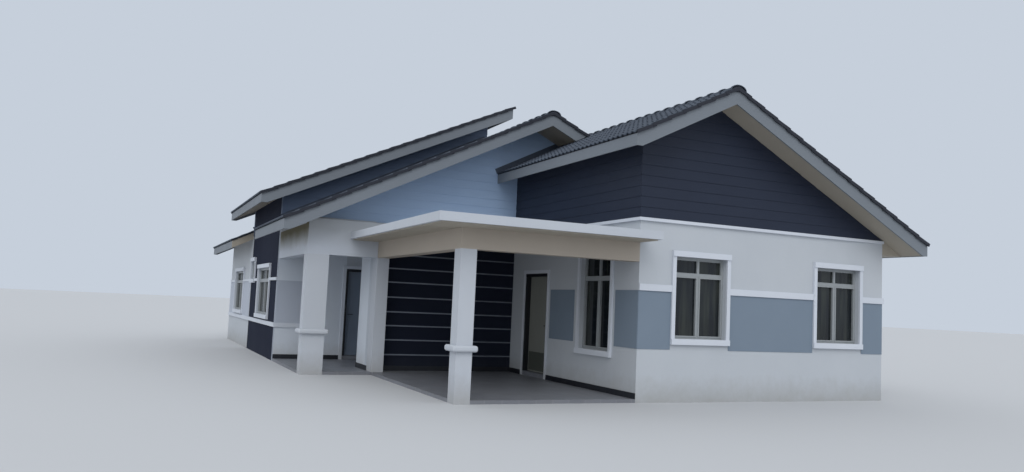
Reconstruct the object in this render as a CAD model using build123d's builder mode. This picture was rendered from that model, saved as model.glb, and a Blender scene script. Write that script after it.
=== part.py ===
"""Single-storey bungalow with a front porch, a side terrace and three stepped tiled roofs.

X runs along the street front to the right, Y runs from the front to the back and Z is up.
The origin is on the ground at the middle of the whole building. Lengths are in millimetres.
"""

import os

from build123d import *

os.makedirs("parts", exist_ok=True)

# Levels
porch_level = 60
house_level = 150
beam_level = 2400
beam_depth = 350
wall_top = 3170

# Plan sizes, measured over the outer faces of the walls
house_width = 10530
house_length = 17500
terrace_width = 1450
terrace_setback = 4720
porch_width = 3290
porch_depth = 5100
alcove_depth = 860
alcove_width = 1300
tower_setback = 8050
tower_length = 4700
tower_width = 5150
wall = 150

# Plan lines, each the outer face of a wall
left_face = -house_width / 2
right_face = house_width / 2
front_face = -house_length / 2
rear_face = house_length / 2
porch_face = left_face + terrace_width
side_face = porch_face + porch_width
terrace_front = front_face + terrace_setback
porch_back = front_face + porch_depth
alcove_face = porch_back + alcove_depth
alcove_right = porch_face + alcove_width
tower_front = front_face + tower_setback
tower_back = tower_front + tower_length
tower_right = left_face + tower_width

# Roofs: heights are those of the tiles' upper face
overhang = 620
main_ridge_run = 5100
main_ridge_x = left_face + main_ridge_run
main_ridge_z = 5890
wing_left_overhang = 550
wing_ridge_run = 1550
wing_ridge_x = side_face + wing_ridge_run
wing_ridge_z = 5590
right_plate_height = 80
tower_eave_z = 3890
tower_slope = 0.457
tower_reach = 510
tile_depth = 70
deck_depth = 130
tile_lip = 40
roof_depth = tile_depth + deck_depth
main_left_slope = (main_ridge_z - roof_depth - wall_top) / main_ridge_run
wing_slope = (wing_ridge_z - roof_depth - wall_top - right_plate_height) / (right_face - wing_ridge_x)

# Boards at the roof edges
barge_depth = 260
barge_thick = 30
fascia_thick = 25
fascia_drop = 50
soffit_thick = 15
soffit_lip = 10
lining_depth = 270
ridge_radius = 110
ridge_sink = 70

# Columns, beams and canopy
column_width = 270
terrace_column_width = 450
pier_width = 250
cap_level = 800
cap_height = 100
cap_reach = 75
cap_round = 38
beam_width = 250
frieze_top = 3120
canopy_thick = 140
canopy_reach = 590
canopy_end = 70
ceiling_thick = 20
soffit_inset = 60
terrace_slab_thick = 150

# Bands, ledges and skirting that stand out from the walls
ledge_height = 55
ledge_reach = 45
band_reach = 30
mid_band_low = 1910
mid_band_height = 115
sill_band_low = 790
sill_band_height = 100
left_band_low = 1890
left_band_height = 70
panel_low = 910
panel_reach = 8
terrace_band_gap = 500
skirting_height = 100
skirting_thick = 12

# Doors
door_width = 1050
door_height = 2100
main_door_setback = 670
main_door_start = porch_back - main_door_setback - door_width
terrace_door_width = 900
terrace_door_offset = 170
terrace_door_start = porch_face + terrace_door_offset
jamb_width = 50
leaf_thick = 40
leaf_gap = 5
leaf_stop = 15
hinge_radius = 7
hinge_length = 100
hinge_gap = 0.4
hinge_web = 20
leaf_floor_gap = 8
leaf_recess = 8
handle_height = 1000
handle_inset = 60
handle_reach = 45
handle_length = 120
handle_radius = 9

# Windows: opening width, height and sill, with the moulded surround round them
window_width = 1120
window_height = 1440
window_sill = 1100
porch_window_height = 1800
porch_window_sill = 800
left_window_width = 1900
left_window_height = 1190
left_window_sill = 1030
high_window_width = 700
high_window_height = 500
high_window_sill = 1950
surround_width = 75
surround_reach = 40
architrave_thick = 20
head_height = 100
head_reach = 60
frame_width = 50
frame_depth = 60
frame_set = 85
left_frame_set = 35
glass_thick = 8
mullion_width = 80
transom_width = 80
light_bar_width = 45
bar_depth = 40
transom_drop = 320
porch_transom_drop = 470

near_window_inset = 1310
far_window_inset = 1200
porch_window_inset = 1440
tower_window_inset = 2100
corner_window_inset = 2750
high_window_inset = 520
front_window_centres = (side_face + near_window_inset, right_face - far_window_inset)
porch_window_centre = front_face + porch_window_inset
left_window_centres = (tower_front + tower_window_inset, (tower_back + rear_face) / 2)
high_window_centre = tower_back - high_window_inset
right_window_centres = (
    front_face + corner_window_inset,
    (front_face + rear_face) / 2,
    rear_face - corner_window_inset,
)
rear_window_centres = (left_face + corner_window_inset, right_face - corner_window_inset)


def main_left_z(x):
    """Height of the main roof's left slope above x."""
    return main_ridge_z - main_left_slope * (main_ridge_x - x)


left_edge = left_face - overhang
right_edge = right_face + overhang
wing_left_edge = side_face - wing_left_overhang
wing_front_edge = front_face - overhang
main_front_edge = terrace_front - overhang
tower_front_edge = tower_front - overhang
tower_back_edge = tower_back + overhang
rear_edge = rear_face + overhang
tower_right_edge = tower_right + tower_reach


def wing_z(x):
    """Height of the wing's roof above x, on either side of its ridge."""
    return wing_ridge_z - wing_slope * abs(x - wing_ridge_x)


right_eave_z = wing_z(right_edge)
main_right_slope = (main_ridge_z - right_eave_z) / (right_edge - main_ridge_x)


def main_right_z(x):
    """Height of the main roof's right slope above x; it shares the wing's right eave."""
    return main_ridge_z - main_right_slope * (x - main_ridge_x)


def tower_z(x):
    """Height of the tower's single slope above x."""
    return tower_eave_z + tower_slope * (x - left_edge)


def meet_wing(drop):
    """Where the main right slope, lowered by drop, meets the wing's left slope."""
    rise = main_ridge_z - drop + main_right_slope * main_ridge_x
    foot = wing_ridge_z - wing_slope * wing_ridge_x
    x = (rise - foot) / (main_right_slope + wing_slope)
    return x, wing_z(x)


def block(x0, x1, y0, y1, z0, z1, mode=Mode.ADD):
    """A squared block between two corners."""
    with Locations(((x0 + x1) / 2, (y0 + y1) / 2, (z0 + z1) / 2)):
        Box(x1 - x0, y1 - y0, z1 - z0, mode=mode)


def prism_y(points, y0, y1, mode=Mode.ADD):
    """A profile drawn in X and Z, run from y0 back to y1."""
    with BuildSketch(Plane.XZ.offset(-y0)) as profile:
        with BuildLine():
            Polyline(*points, close=True)
        make_face()
    extrude(profile.sketch, amount=-(y1 - y0), mode=mode)


def plan(points, z0, z1, mode=Mode.ADD):
    """An outline drawn on the ground, raised from z0 to z1."""
    with BuildSketch(Plane.XY.offset(z0)) as outline:
        with BuildLine():
            Polyline(*points, close=True)
        make_face()
    extrude(outline.sketch, amount=z1 - z0, mode=mode)


def save(piece, name):
    """Label a finished piece and write it."""
    piece.part.label = name
    export_step(piece.part, f"parts/{name}.step")


# House floor, which runs out through both doorways as their thresholds
main_door_end = main_door_start + door_width
terrace_door_end = terrace_door_start + terrace_door_width
inner_left = left_face + wall
inner_right = right_face - wall
inner_rear = rear_face - wall

with BuildPart() as house_floor:
    plan(
        [
            (side_face + wall, front_face + wall),
            (inner_right, front_face + wall),
            (inner_right, inner_rear),
            (inner_left, inner_rear),
            (inner_left, tower_front + wall),
            (alcove_right + wall, tower_front + wall),
            (alcove_right + wall, alcove_face - wall),
            (porch_face + wall, alcove_face - wall),
            (porch_face + wall, porch_back + wall),
            (side_face + wall, porch_back + wall),
        ],
        0,
        house_level,
    )
    block(side_face, side_face + wall, main_door_start, main_door_end, 0, house_level)
    block(terrace_door_start, terrace_door_end, tower_front, tower_front + wall, 0, house_level)
save(house_floor, "house_floor")

# Porch and terrace floors, each fitted round the column or pier that stands in it
with BuildPart() as porch_floors:
    block(porch_face, side_face, front_face, porch_back, 0, porch_level)
    block(porch_face, porch_face + column_width, front_face, front_face + column_width, 0, porch_level,
          mode=Mode.SUBTRACT)
    block(porch_face, porch_face + pier_width, terrace_front, porch_back, 0, porch_level, mode=Mode.SUBTRACT)
    plan(
        [
            (left_face, terrace_front),
            (porch_face, terrace_front),
            (porch_face, alcove_face),
            (alcove_right, alcove_face),
            (alcove_right, tower_front),
            (left_face, tower_front),
        ],
        0,
        porch_level,
    )
    block(left_face, left_face + terrace_column_width, terrace_front, terrace_front + column_width, 0,
          porch_level, mode=Mode.SUBTRACT)
save(porch_floors, "porch_floors")


# Walls: each is drawn as an elevation with its window openings and given its thickness
def front_opening(centre, width, sill, height, y0, y1):
    """Cut a window through a wall that faces the front or the back."""
    block(centre - width / 2, centre + width / 2, y0, y1, sill, sill + height, mode=Mode.SUBTRACT)


def side_opening(centre, width, sill, height, x0, x1):
    """Cut a window through a wall that faces left or right."""
    block(x0, x1, centre - width / 2, centre + width / 2, sill, sill + height, mode=Mode.SUBTRACT)


with BuildPart() as wing_front_wall:
    block(side_face, right_face, front_face, front_face + wall, 0, wall_top)
    for centre in front_window_centres:
        front_opening(centre, window_width, window_sill, window_height, front_face, front_face + wall)
save(wing_front_wall, "wing_front_wall")

with BuildPart() as porch_side_wall:
    block(side_face, side_face + wall, front_face + wall, main_door_start, 0, wall_top)
    side_opening(porch_window_centre, window_width, porch_window_sill, porch_window_height,
                 side_face, side_face + wall)
    block(side_face, side_face + wall, main_door_end, porch_back, 0, wall_top)
save(porch_side_wall, "porch_side_wall")

door_head = house_level + door_height
with BuildPart() as door_lintels:
    block(side_face, side_face + wall, main_door_start, main_door_end, door_head, wall_top)
    block(terrace_door_start, terrace_door_end, tower_front, tower_front + wall, door_head, wall_top)
save(door_lintels, "door_lintels")

with BuildPart() as porch_back_wall:
    block(porch_face, side_face + wall, porch_back, porch_back + wall, 0, wall_top)
save(porch_back_wall, "porch_back_wall")

with BuildPart() as terrace_inner_wall:
    plan(
        [
            (porch_face, porch_back + wall),
            (porch_face + wall, porch_back + wall),
            (porch_face + wall, alcove_face - wall),
            (alcove_right + wall, alcove_face - wall),
            (alcove_right + wall, tower_front),
            (alcove_right, tower_front),
            (alcove_right, alcove_face),
            (porch_face, alcove_face),
        ],
        0,
        wall_top - terrace_slab_thick,
    )
save(terrace_inner_wall, "terrace_inner_wall")

with BuildPart() as terrace_back_wall:
    block(left_face, terrace_door_start, tower_front, tower_front + wall, 0, wall_top)
    block(terrace_door_end, alcove_right + wall, tower_front, tower_front + wall, 0, wall_top)
save(terrace_back_wall, "terrace_back_wall")


def eaves_wedge(height, y0, y1):
    """Top of the right wall, from the masonry's level up to the slope that rests on it."""
    prism_y(
        [
            (inner_right, wall_top),
            (right_face, wall_top),
            (right_face, height(right_face) - roof_depth),
            (inner_right, height(inner_right) - roof_depth),
        ],
        y0,
        y1,
    )


with BuildPart() as tower_left_wall:
    prism_y(
        [
            (left_face, 0),
            (inner_left, 0),
            (inner_left, tower_z(inner_left) - roof_depth),
            (left_face, tower_z(left_face) - roof_depth),
        ],
        tower_front + wall,
        tower_back - wall,
    )
    side_opening(left_window_centres[0], left_window_width, left_window_sill, left_window_height,
                 left_face, inner_left)
    side_opening(high_window_centre, high_window_width, high_window_sill, high_window_height,
                 left_face, inner_left)
save(tower_left_wall, "tower_left_wall")

with BuildPart() as rear_left_wall:
    block(left_face, inner_left, tower_back - wall, rear_face, 0, wall_top)
    prism_y([(left_face, wall_top), (inner_left, wall_top), (inner_left, wall_top + main_left_slope * wall)],
            tower_back, inner_rear)
    side_opening(left_window_centres[1], left_window_width, left_window_sill, left_window_height,
                 left_face, inner_left)
save(rear_left_wall, "rear_left_wall")

with BuildPart() as rear_wall:
    block(inner_left, inner_right, inner_rear, rear_face, 0, wall_top)
    for centre in rear_window_centres:
        front_opening(centre, window_width, window_sill, window_height, inner_rear, rear_face)
save(rear_wall, "rear_wall")

with BuildPart() as right_wall:
    block(inner_right, right_face, front_face + wall, rear_face, 0, wall_top)
    eaves_wedge(wing_z, front_face + wall, porch_back)
    eaves_wedge(main_right_z, porch_back, inner_rear)
    for centre in right_window_centres:
        side_opening(centre, window_width, window_sill, window_height, inner_right, right_face)
save(right_wall, "right_wall")

# Boarded walls above the masonry, cut to the underside of the roofs they carry
with BuildPart() as wing_gable:
    prism_y(
        [
            (side_face, wall_top),
            (right_face, wall_top),
            (right_face, wing_z(right_face) - roof_depth),
            (wing_ridge_x, wing_ridge_z - roof_depth),
            (side_face, wing_z(side_face) - roof_depth),
        ],
        front_face,
        front_face + wall,
    )
save(wing_gable, "wing_gable")

with BuildPart() as wing_side_gable:
    prism_y(
        [
            (side_face, wall_top),
            (side_face + wall, wall_top),
            (side_face + wall, wing_z(side_face + wall) - roof_depth),
            (side_face, wing_z(side_face) - roof_depth),
        ],
        front_face + wall,
        porch_back,
    )
save(wing_side_gable, "wing_side_gable")

with BuildPart() as main_gable:
    prism_y(
        [
            (left_face, wall_top),
            (wing_ridge_x, wall_top),
            (wing_ridge_x, main_right_z(wing_ridge_x) - roof_depth),
            (main_ridge_x, main_ridge_z - roof_depth),
        ],
        porch_back,
        porch_back + wall,
    )
save(main_gable, "main_gable")

with BuildPart() as rear_gable:
    prism_y(
        [
            (left_face, wall_top),
            (right_face, wall_top),
            (right_face, main_right_z(right_face) - roof_depth),
            (main_ridge_x, main_ridge_z - roof_depth),
        ],
        inner_rear,
        rear_face,
    )
save(rear_gable, "rear_gable")


def tower_profile(x0, z0):
    """Upright outline of a tower wall from x0 to the tower's right face, down to z0."""
    return [
        (x0, z0),
        (tower_right, z0),
        (tower_right, tower_z(tower_right) - roof_depth),
        (x0, tower_z(x0) - roof_depth),
    ]


tower_side_low = main_right_z(tower_right) - 2 * roof_depth

with BuildPart() as tower_front_wall:
    prism_y(tower_profile(left_face, wall_top), tower_front, tower_front + wall)
save(tower_front_wall, "tower_front_wall")

with BuildPart() as tower_back_wall:
    prism_y(tower_profile(left_face, wall_top), tower_back - wall, tower_back)
save(tower_back_wall, "tower_back_wall")

with BuildPart() as tower_side_wall:
    prism_y(tower_profile(tower_right - wall, tower_side_low), tower_front + wall, tower_back - wall)
save(tower_side_wall, "tower_side_wall")


# Columns with a moulded cap part of the way up
def column(x0, y0, width, depth, top):
    """A squared column with a rounded cap band round it."""
    block(x0, x0 + width, y0, y0 + depth, 0, top)
    block(x0 - cap_reach, x0 + width + cap_reach, y0 - cap_reach, y0 + depth + cap_reach,
          cap_level, cap_level + cap_height)
    centre = Vector(x0 + width / 2, y0 + depth / 2)
    outer = [
        edge for edge in edges(Select.LAST)
        if abs(edge.center().X - centre.X) > width / 2 + cap_reach / 2
        or abs(edge.center().Y - centre.Y) > depth / 2 + cap_reach / 2
    ]
    fillet(outer, cap_round)


with BuildPart() as porch_column:
    column(porch_face, front_face, column_width, column_width, beam_level)
save(porch_column, "porch_column")

with BuildPart() as terrace_column:
    column(left_face, terrace_front, terrace_column_width, column_width, beam_level)
save(terrace_column, "terrace_column")

with BuildPart() as porch_pier:
    block(porch_face, porch_face + pier_width, terrace_front, porch_back, 0, beam_level)
save(porch_pier, "porch_pier")

# Beams
canopy_low = beam_level + beam_depth
with BuildPart() as porch_beams:
    block(porch_face, side_face, front_face, front_face + beam_width, beam_level, canopy_low)
    block(porch_face, porch_face + beam_width, front_face, terrace_front, beam_level, canopy_low)
save(porch_beams, "porch_beams")

with BuildPart() as terrace_beams:
    block(left_face, porch_face + pier_width, terrace_front, terrace_front + beam_width,
          beam_level, frieze_top)
    block(porch_face, porch_face + pier_width, terrace_front + beam_width, porch_back, beam_level, frieze_top)
    block(left_face, left_face + beam_width, terrace_front + beam_width, tower_front,
          beam_level, wall_top - terrace_slab_thick)
save(terrace_beams, "terrace_beams")

# Flat slab over the porch, and the slab over the terrace that carries the blue gable
with BuildPart() as canopy_slab:
    plan(
        [
            (porch_face - canopy_reach, front_face - canopy_reach),
            (side_face + canopy_end, front_face - canopy_reach),
            (side_face + canopy_end, front_face),
            (side_face, front_face),
            (side_face, porch_back),
            (porch_face + pier_width, porch_back),
            (porch_face + pier_width, terrace_front),
            (porch_face - canopy_reach, terrace_front),
        ],
        canopy_low,
        canopy_low + canopy_thick,
    )
save(canopy_slab, "canopy_slab")

with BuildPart() as terrace_slab:
    plan(
        [
            (left_face, terrace_front + beam_width),
            (porch_face, terrace_front + beam_width),
            (porch_face, porch_back + wall),
            (alcove_right + wall, porch_back + wall),
            (alcove_right + wall, tower_front),
            (left_face, tower_front),
        ],
        wall_top - terrace_slab_thick,
        wall_top,
    )
save(terrace_slab, "terrace_slab")

with BuildPart() as porch_ceiling:
    block(porch_face + beam_width, side_face, front_face + beam_width, porch_back,
          canopy_low - ceiling_thick, canopy_low)
    plan(
        [
            (porch_face - canopy_reach + soffit_inset, front_face - canopy_reach + soffit_inset),
            (side_face, front_face - canopy_reach + soffit_inset),
            (side_face, front_face),
            (porch_face, front_face),
            (porch_face, terrace_front),
            (porch_face - canopy_reach + soffit_inset, terrace_front),
        ],
        canopy_low - ceiling_thick,
        canopy_low,
    )
save(porch_ceiling, "porch_ceiling")


# Roofs: on each slope a deck of rafters and boards carries a layer of tiles
def slope_profile(height, x0, x1, top_drop, low_drop):
    """Outline of a sloping layer from x0 to x1, between two depths below the tiles' upper face."""
    return [
        (x0, height(x0) - top_drop),
        (x1, height(x1) - top_drop),
        (x1, height(x1) - low_drop),
        (x0, height(x0) - low_drop),
    ]


def meet_profile(top_drop, low_drop):
    """Outline of the short slope right of the main ridge, which dies into the wing's roof."""
    return [
        (main_ridge_x, main_ridge_z - low_drop),
        meet_wing(low_drop),
        meet_wing(top_drop),
        (main_ridge_x, main_ridge_z - top_drop),
    ]


def roof_layers(height, edge, ridge, spans):
    """Deck and tiles of one slope; spans holds each stretch's ends along Y and what the deck stops short."""
    side = 1 if ridge > edge else -1
    deck_edge = edge + side * (tile_lip + fascia_thick)
    with BuildPart() as deck:
        for (y0, lip0), (y1, lip1) in spans:
            prism_y(slope_profile(height, deck_edge, ridge, tile_depth, roof_depth), y0 + lip0, y1 - lip1)
    with BuildPart() as tiles:
        for (y0, lip0), (y1, lip1) in spans:
            prism_y(slope_profile(height, edge, ridge, 0, tile_depth), y0, y1)
    return deck, tiles


verge = tile_lip + barge_thick

wing_left_deck, wing_left_tiles = roof_layers(
    wing_z, wing_left_edge, wing_ridge_x, [((wing_front_edge, verge), (porch_back, 0))]
)
save(wing_left_deck, "wing_left_deck")
save(wing_left_tiles, "wing_left_tiles")

wing_right_deck, wing_right_tiles = roof_layers(
    wing_z, right_edge, wing_ridge_x, [((wing_front_edge, verge), (porch_back, 0))]
)
save(wing_right_deck, "wing_right_deck")
save(wing_right_tiles, "wing_right_tiles")

main_left_deck, main_left_slopes = roof_layers(
    main_left_z,
    left_edge,
    main_ridge_x,
    [((main_front_edge, verge), (tower_front, 0)), ((tower_back, 0), (rear_edge, verge))],
)
save(main_left_deck, "main_left_deck")

# Beside the tower the left eaves run on a little, over the boards that close their ends
end_reach = tile_lip + soffit_thick
with BuildPart() as main_left_tiles:
    add(main_left_slopes.part)
    for y0, y1 in ((tower_front, tower_front + end_reach), (tower_back - end_reach, tower_back)):
        prism_y(slope_profile(main_left_z, left_edge, left_face, 0, tile_depth), y0, y1)
save(main_left_tiles, "main_left_tiles")

with BuildPart() as main_right_deck:
    prism_y(meet_profile(tile_depth, roof_depth), main_front_edge + verge, porch_back)
    prism_y(slope_profile(main_right_z, main_ridge_x, right_edge - tile_lip - fascia_thick, tile_depth,
                          roof_depth), porch_back, rear_edge - verge)
    block(main_ridge_x, tower_right, tower_front, tower_back, wall_top, main_ridge_z, mode=Mode.SUBTRACT)
save(main_right_deck, "main_right_deck")

with BuildPart() as main_right_tiles:
    prism_y(meet_profile(0, tile_depth), main_front_edge, porch_back)
    prism_y(slope_profile(main_right_z, main_ridge_x, right_edge, 0, tile_depth), porch_back, rear_edge)
    block(main_ridge_x, tower_right, tower_front, tower_back, wall_top, main_ridge_z, mode=Mode.SUBTRACT)
save(main_right_tiles, "main_right_tiles")

with BuildPart() as tower_deck:
    prism_y(slope_profile(tower_z, left_edge + tile_lip + fascia_thick,
                          tower_right_edge - tile_lip - fascia_thick, tile_depth, roof_depth),
            tower_front_edge + verge, tower_back_edge - verge)
save(tower_deck, "tower_deck")

with BuildPart() as tower_tiles:
    prism_y(slope_profile(tower_z, left_edge, tower_right_edge, 0, tile_depth),
            tower_front_edge, tower_back_edge)
save(tower_tiles, "tower_tiles")


# Half-round ridge tiles, bedded on the tiles of both slopes
def ridge_run(x, z, left_height, right_height, y0, y1):
    """One run of ridge tiles from y0 to y1."""
    with BuildSketch(Plane.XZ.offset(-y0)) as cap:
        with Locations((x, z - ridge_sink)):
            Circle(ridge_radius)
        with BuildLine():
            Polyline(
                (x - 2 * ridge_radius, left_height(x - 2 * ridge_radius)),
                (x, z),
                (x + 2 * ridge_radius, right_height(x + 2 * ridge_radius)),
                (x + 2 * ridge_radius, z - 4 * ridge_radius),
                (x - 2 * ridge_radius, z - 4 * ridge_radius),
                close=True,
            )
        make_face(mode=Mode.SUBTRACT)
    extrude(cap.sketch, amount=-(y1 - y0))


with BuildPart() as ridge_tiles:
    ridge_run(wing_ridge_x, wing_ridge_z, wing_z, wing_z, wing_front_edge, porch_back)
    ridge_run(main_ridge_x, main_ridge_z, main_left_z, main_right_z, main_front_edge, tower_front)
    ridge_run(main_ridge_x, main_ridge_z, main_left_z, main_right_z, tower_back, rear_edge)
save(ridge_tiles, "ridge_tiles")


# Bargeboards along the sloping edges; the foot of each is cut level with the eaves board
def fascia_low(height, edge):
    """Lower edge of the eaves board at a roof's edge."""
    return height(edge) - roof_depth - fascia_drop


def barge_foot(height, edge, side):
    """Foot of a bargeboard at an eave: from its upper corner round to its lower edge."""
    x = edge + side * tile_lip
    low = fascia_low(height, edge)
    rise = abs(height(x + side) - height(x))
    cut = low - (height(x) - tile_depth - barge_depth)
    return [(x, height(x) - tile_depth), (x, low), (x + side * cut / rise, low)]


def barge_gable(left_height, left_x, right_height, right_x, ridge_x, ridge_z):
    """Outline of the two bargeboards of a gable, mitred at the ridge."""
    low = tile_depth + barge_depth
    left = barge_foot(left_height, left_x, 1)
    right = barge_foot(right_height, right_x, -1)
    return [(ridge_x, ridge_z - tile_depth)] + left + [(ridge_x, ridge_z - low)] + right[::-1]


barge_low = tile_depth + barge_depth
tower_head = tower_right_edge - tile_lip
tower_barge = barge_foot(tower_z, left_edge, 1) + [
    (tower_head, tower_z(tower_head) - barge_low),
    (tower_head, tower_z(tower_head) - tile_depth),
]

with BuildPart() as bargeboards:
    prism_y(barge_gable(wing_z, wing_left_edge, wing_z, right_edge, wing_ridge_x, wing_ridge_z),
            wing_front_edge + tile_lip, wing_front_edge + verge)
    prism_y([(main_ridge_x, main_ridge_z - tile_depth)] + barge_foot(main_left_z, left_edge, 1)
            + [(main_ridge_x, main_ridge_z - barge_low), meet_wing(barge_low), meet_wing(tile_depth)],
            main_front_edge + tile_lip, main_front_edge + verge)
    prism_y(barge_gable(main_left_z, left_edge, main_right_z, right_edge, main_ridge_x, main_ridge_z),
            rear_edge - verge, rear_edge - tile_lip)
    prism_y(tower_barge, tower_front_edge + tile_lip, tower_front_edge + verge)
    prism_y(tower_barge, tower_back_edge - verge, tower_back_edge - tile_lip)
save(bargeboards, "bargeboards")

with BuildPart() as roof_step_board:
    prism_y([meet_wing(0), (wing_ridge_x, wing_ridge_z), (right_edge, right_eave_z)],
            porch_back, porch_back + barge_thick)
save(roof_step_board, "roof_step_board")


# Eaves boards, fixed to the ends of the rafters
def fascia(height, edge, side, y0, y1):
    """One eaves board; side points from the edge towards the ridge."""
    x0 = edge + side * tile_lip
    x1 = x0 + side * fascia_thick
    block(min(x0, x1), max(x0, x1), y0, y1, fascia_low(height, edge), height(x0) - tile_depth)


with BuildPart() as eaves_boards:
    fascia(wing_z, wing_left_edge, 1, wing_front_edge + verge, porch_back)
    fascia(main_right_z, right_edge, -1, wing_front_edge + verge, rear_edge - verge)
    fascia(main_left_z, left_edge, 1, main_front_edge + verge, tower_front)
    fascia(main_left_z, left_edge, 1, tower_back, rear_edge - verge)
    fascia(tower_z, left_edge, 1, tower_front_edge + verge, tower_back_edge - verge)
    head_low = tower_z(tower_head) - barge_low
    prism_y(
        [
            (tower_head, head_low),
            (tower_head, tower_z(tower_head) - tile_depth),
            (tower_head - fascia_thick, tower_z(tower_head - fascia_thick) - tile_depth),
            (tower_head - fascia_thick, head_low),
        ],
        tower_front_edge + verge,
        tower_back_edge - verge,
    )
save(eaves_boards, "eaves_boards")


# Soffit boards under the eaves. Those on the left follow the rafters; those on the right are
# level, with a board that closes each end.
def lining(height, x0, x1, y0, y1):
    """Sloping boards fixed under the rafters from x0 to x1."""
    prism_y(slope_profile(height, x0, x1, lining_depth - soffit_thick, lining_depth), y0, y1)


def lining_end(height, edge, face, y0):
    """Board that closes the cut end of an eave from the tiles to the soffit, from y0 back."""
    prism_y(slope_profile(height, edge + tile_lip, face, tile_depth, lining_depth), y0, y0 + soffit_thick)


def level_soffit(height, y0, y1, end):
    """Level boards from the right eaves board to the wall face, closed at one end along Y."""
    x0 = right_edge - tile_lip - fascia_thick
    low = fascia_low(height, right_edge) + soffit_lip
    block(right_face, x0, y0, y1, low, low + soffit_thick)
    start = y0 if end == "front" else y1 - soffit_thick
    prism_y(
        [
            (x0, low),
            (right_face, low),
            (right_face, height(right_face) - roof_depth),
            (x0, height(x0) - roof_depth),
        ],
        start,
        start + soffit_thick,
    )


board_inset = tile_lip + fascia_thick
wing_verge = wing_front_edge + verge
main_verge = main_front_edge + verge
rear_verge = rear_edge - verge
tower_verges = ((tower_front_edge + verge, tower_front), (tower_back, tower_back_edge - verge))

with BuildPart() as eaves_soffits:
    lining(wing_z, wing_left_edge + board_inset, side_face, wing_verge, porch_back)
    lining(main_left_z, left_edge + board_inset, left_face, main_verge, tower_front)
    lining_end(main_left_z, left_edge, left_face, tower_front)
    lining(main_left_z, left_edge + board_inset, left_face, tower_back, rear_verge)
    lining_end(main_left_z, left_edge, left_face, tower_back - soffit_thick)
    lining(tower_z, left_edge + board_inset, left_face, tower_verges[0][0], tower_verges[1][1])
    lining(tower_z, tower_right, tower_head - fascia_thick, tower_verges[0][0], tower_verges[1][1])
    level_soffit(wing_z, front_face, porch_back, "front")
    level_soffit(main_right_z, porch_back, rear_face, "back")
save(eaves_soffits, "eaves_soffits")

# Sloping soffit boards under the gables' overhangs, from the bargeboard back to the gable wall
with BuildPart() as verge_soffits:
    lining(wing_z, side_face, wing_ridge_x, wing_verge, front_face)
    lining(wing_z, wing_ridge_x, right_edge - board_inset, wing_verge, front_face)
    lining(main_left_z, left_face, main_ridge_x, main_verge, porch_back)
    prism_y(meet_profile(lining_depth - soffit_thick, lining_depth), main_verge, porch_back)
    block(left_face, porch_face + pier_width, terrace_front, porch_back, beam_level, frieze_top,
          mode=Mode.SUBTRACT)
    block(left_face, porch_face, terrace_front + beam_width, porch_back, beam_level, wall_top,
          mode=Mode.SUBTRACT)
    lining(main_left_z, left_face, main_ridge_x, rear_face, rear_verge)
    lining(main_right_z, main_ridge_x, right_edge - board_inset, rear_face, rear_verge)
    for y0, y1 in tower_verges:
        lining(tower_z, left_face, tower_right, y0, y1)
save(verge_soffits, "verge_soffits")

# Windows: each has a plane in its wall's outer face, its size, its number of lights, the drop
# of its transom and how far its frame stands back
front_window_z = window_sill + window_height / 2
left_window_z = left_window_sill + left_window_height / 2
porch_window_z = porch_window_sill + porch_window_height / 2


def facing(x, y, z, outward):
    """Plane in a wall's outer face, centred on a window and looking outward."""
    along = (-outward[1], outward[0], 0)
    return Plane(origin=(x, y, z), x_dir=along, z_dir=outward)


windows = [
    (facing(x, front_face, front_window_z, (0, -1, 0)), window_width, window_height, 2, transom_drop,
     frame_set)
    for x in front_window_centres
]
windows += [
    (facing(side_face, porch_window_centre, porch_window_z, (-1, 0, 0)), window_width, porch_window_height,
     2, porch_transom_drop, frame_set)
]
windows += [
    (facing(left_face, y, left_window_z, (-1, 0, 0)), left_window_width, left_window_height, 2, transom_drop,
     left_frame_set)
    for y in left_window_centres
]
windows += [
    (facing(right_face, y, front_window_z, (1, 0, 0)), window_width, window_height, 2, transom_drop,
     frame_set)
    for y in right_window_centres
]
windows += [
    (facing(x, rear_face, front_window_z, (0, 1, 0)), window_width, window_height, 2, transom_drop,
     frame_set)
    for x in rear_window_centres
]
high_window_z = high_window_sill + high_window_height / 2
windows += [
    (facing(left_face, high_window_centre, high_window_z, (-1, 0, 0)), high_window_width,
     high_window_height, 1, 0, left_frame_set)
]

with BuildPart() as window_surrounds:
    for plane, width, height, lights, drop, setback in windows:
        with BuildSketch(plane) as sides:
            with GridLocations(width + surround_width, 0, 2, 1):
                Rectangle(surround_width, height)
        extrude(sides.sketch, amount=surround_reach)
        with BuildSketch(plane) as ends:
            with GridLocations(0, height + head_height, 1, 2):
                Rectangle(width + 2 * surround_width, head_height)
        extrude(ends.sketch, amount=head_reach)
    block(terrace_door_start - surround_width, terrace_door_end + surround_width,
          tower_front - surround_reach, tower_front, porch_level, door_head + surround_width)
    block(terrace_door_start, terrace_door_end, tower_front - surround_reach, tower_front,
          porch_level, door_head, mode=Mode.SUBTRACT)
    block(side_face - architrave_thick, side_face, main_door_start - surround_width,
          main_door_end + surround_width, porch_level, door_head + surround_width)
    block(side_face - architrave_thick, side_face, main_door_start, main_door_end, porch_level, door_head,
          mode=Mode.SUBTRACT)
save(window_surrounds, "window_surrounds")

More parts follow.
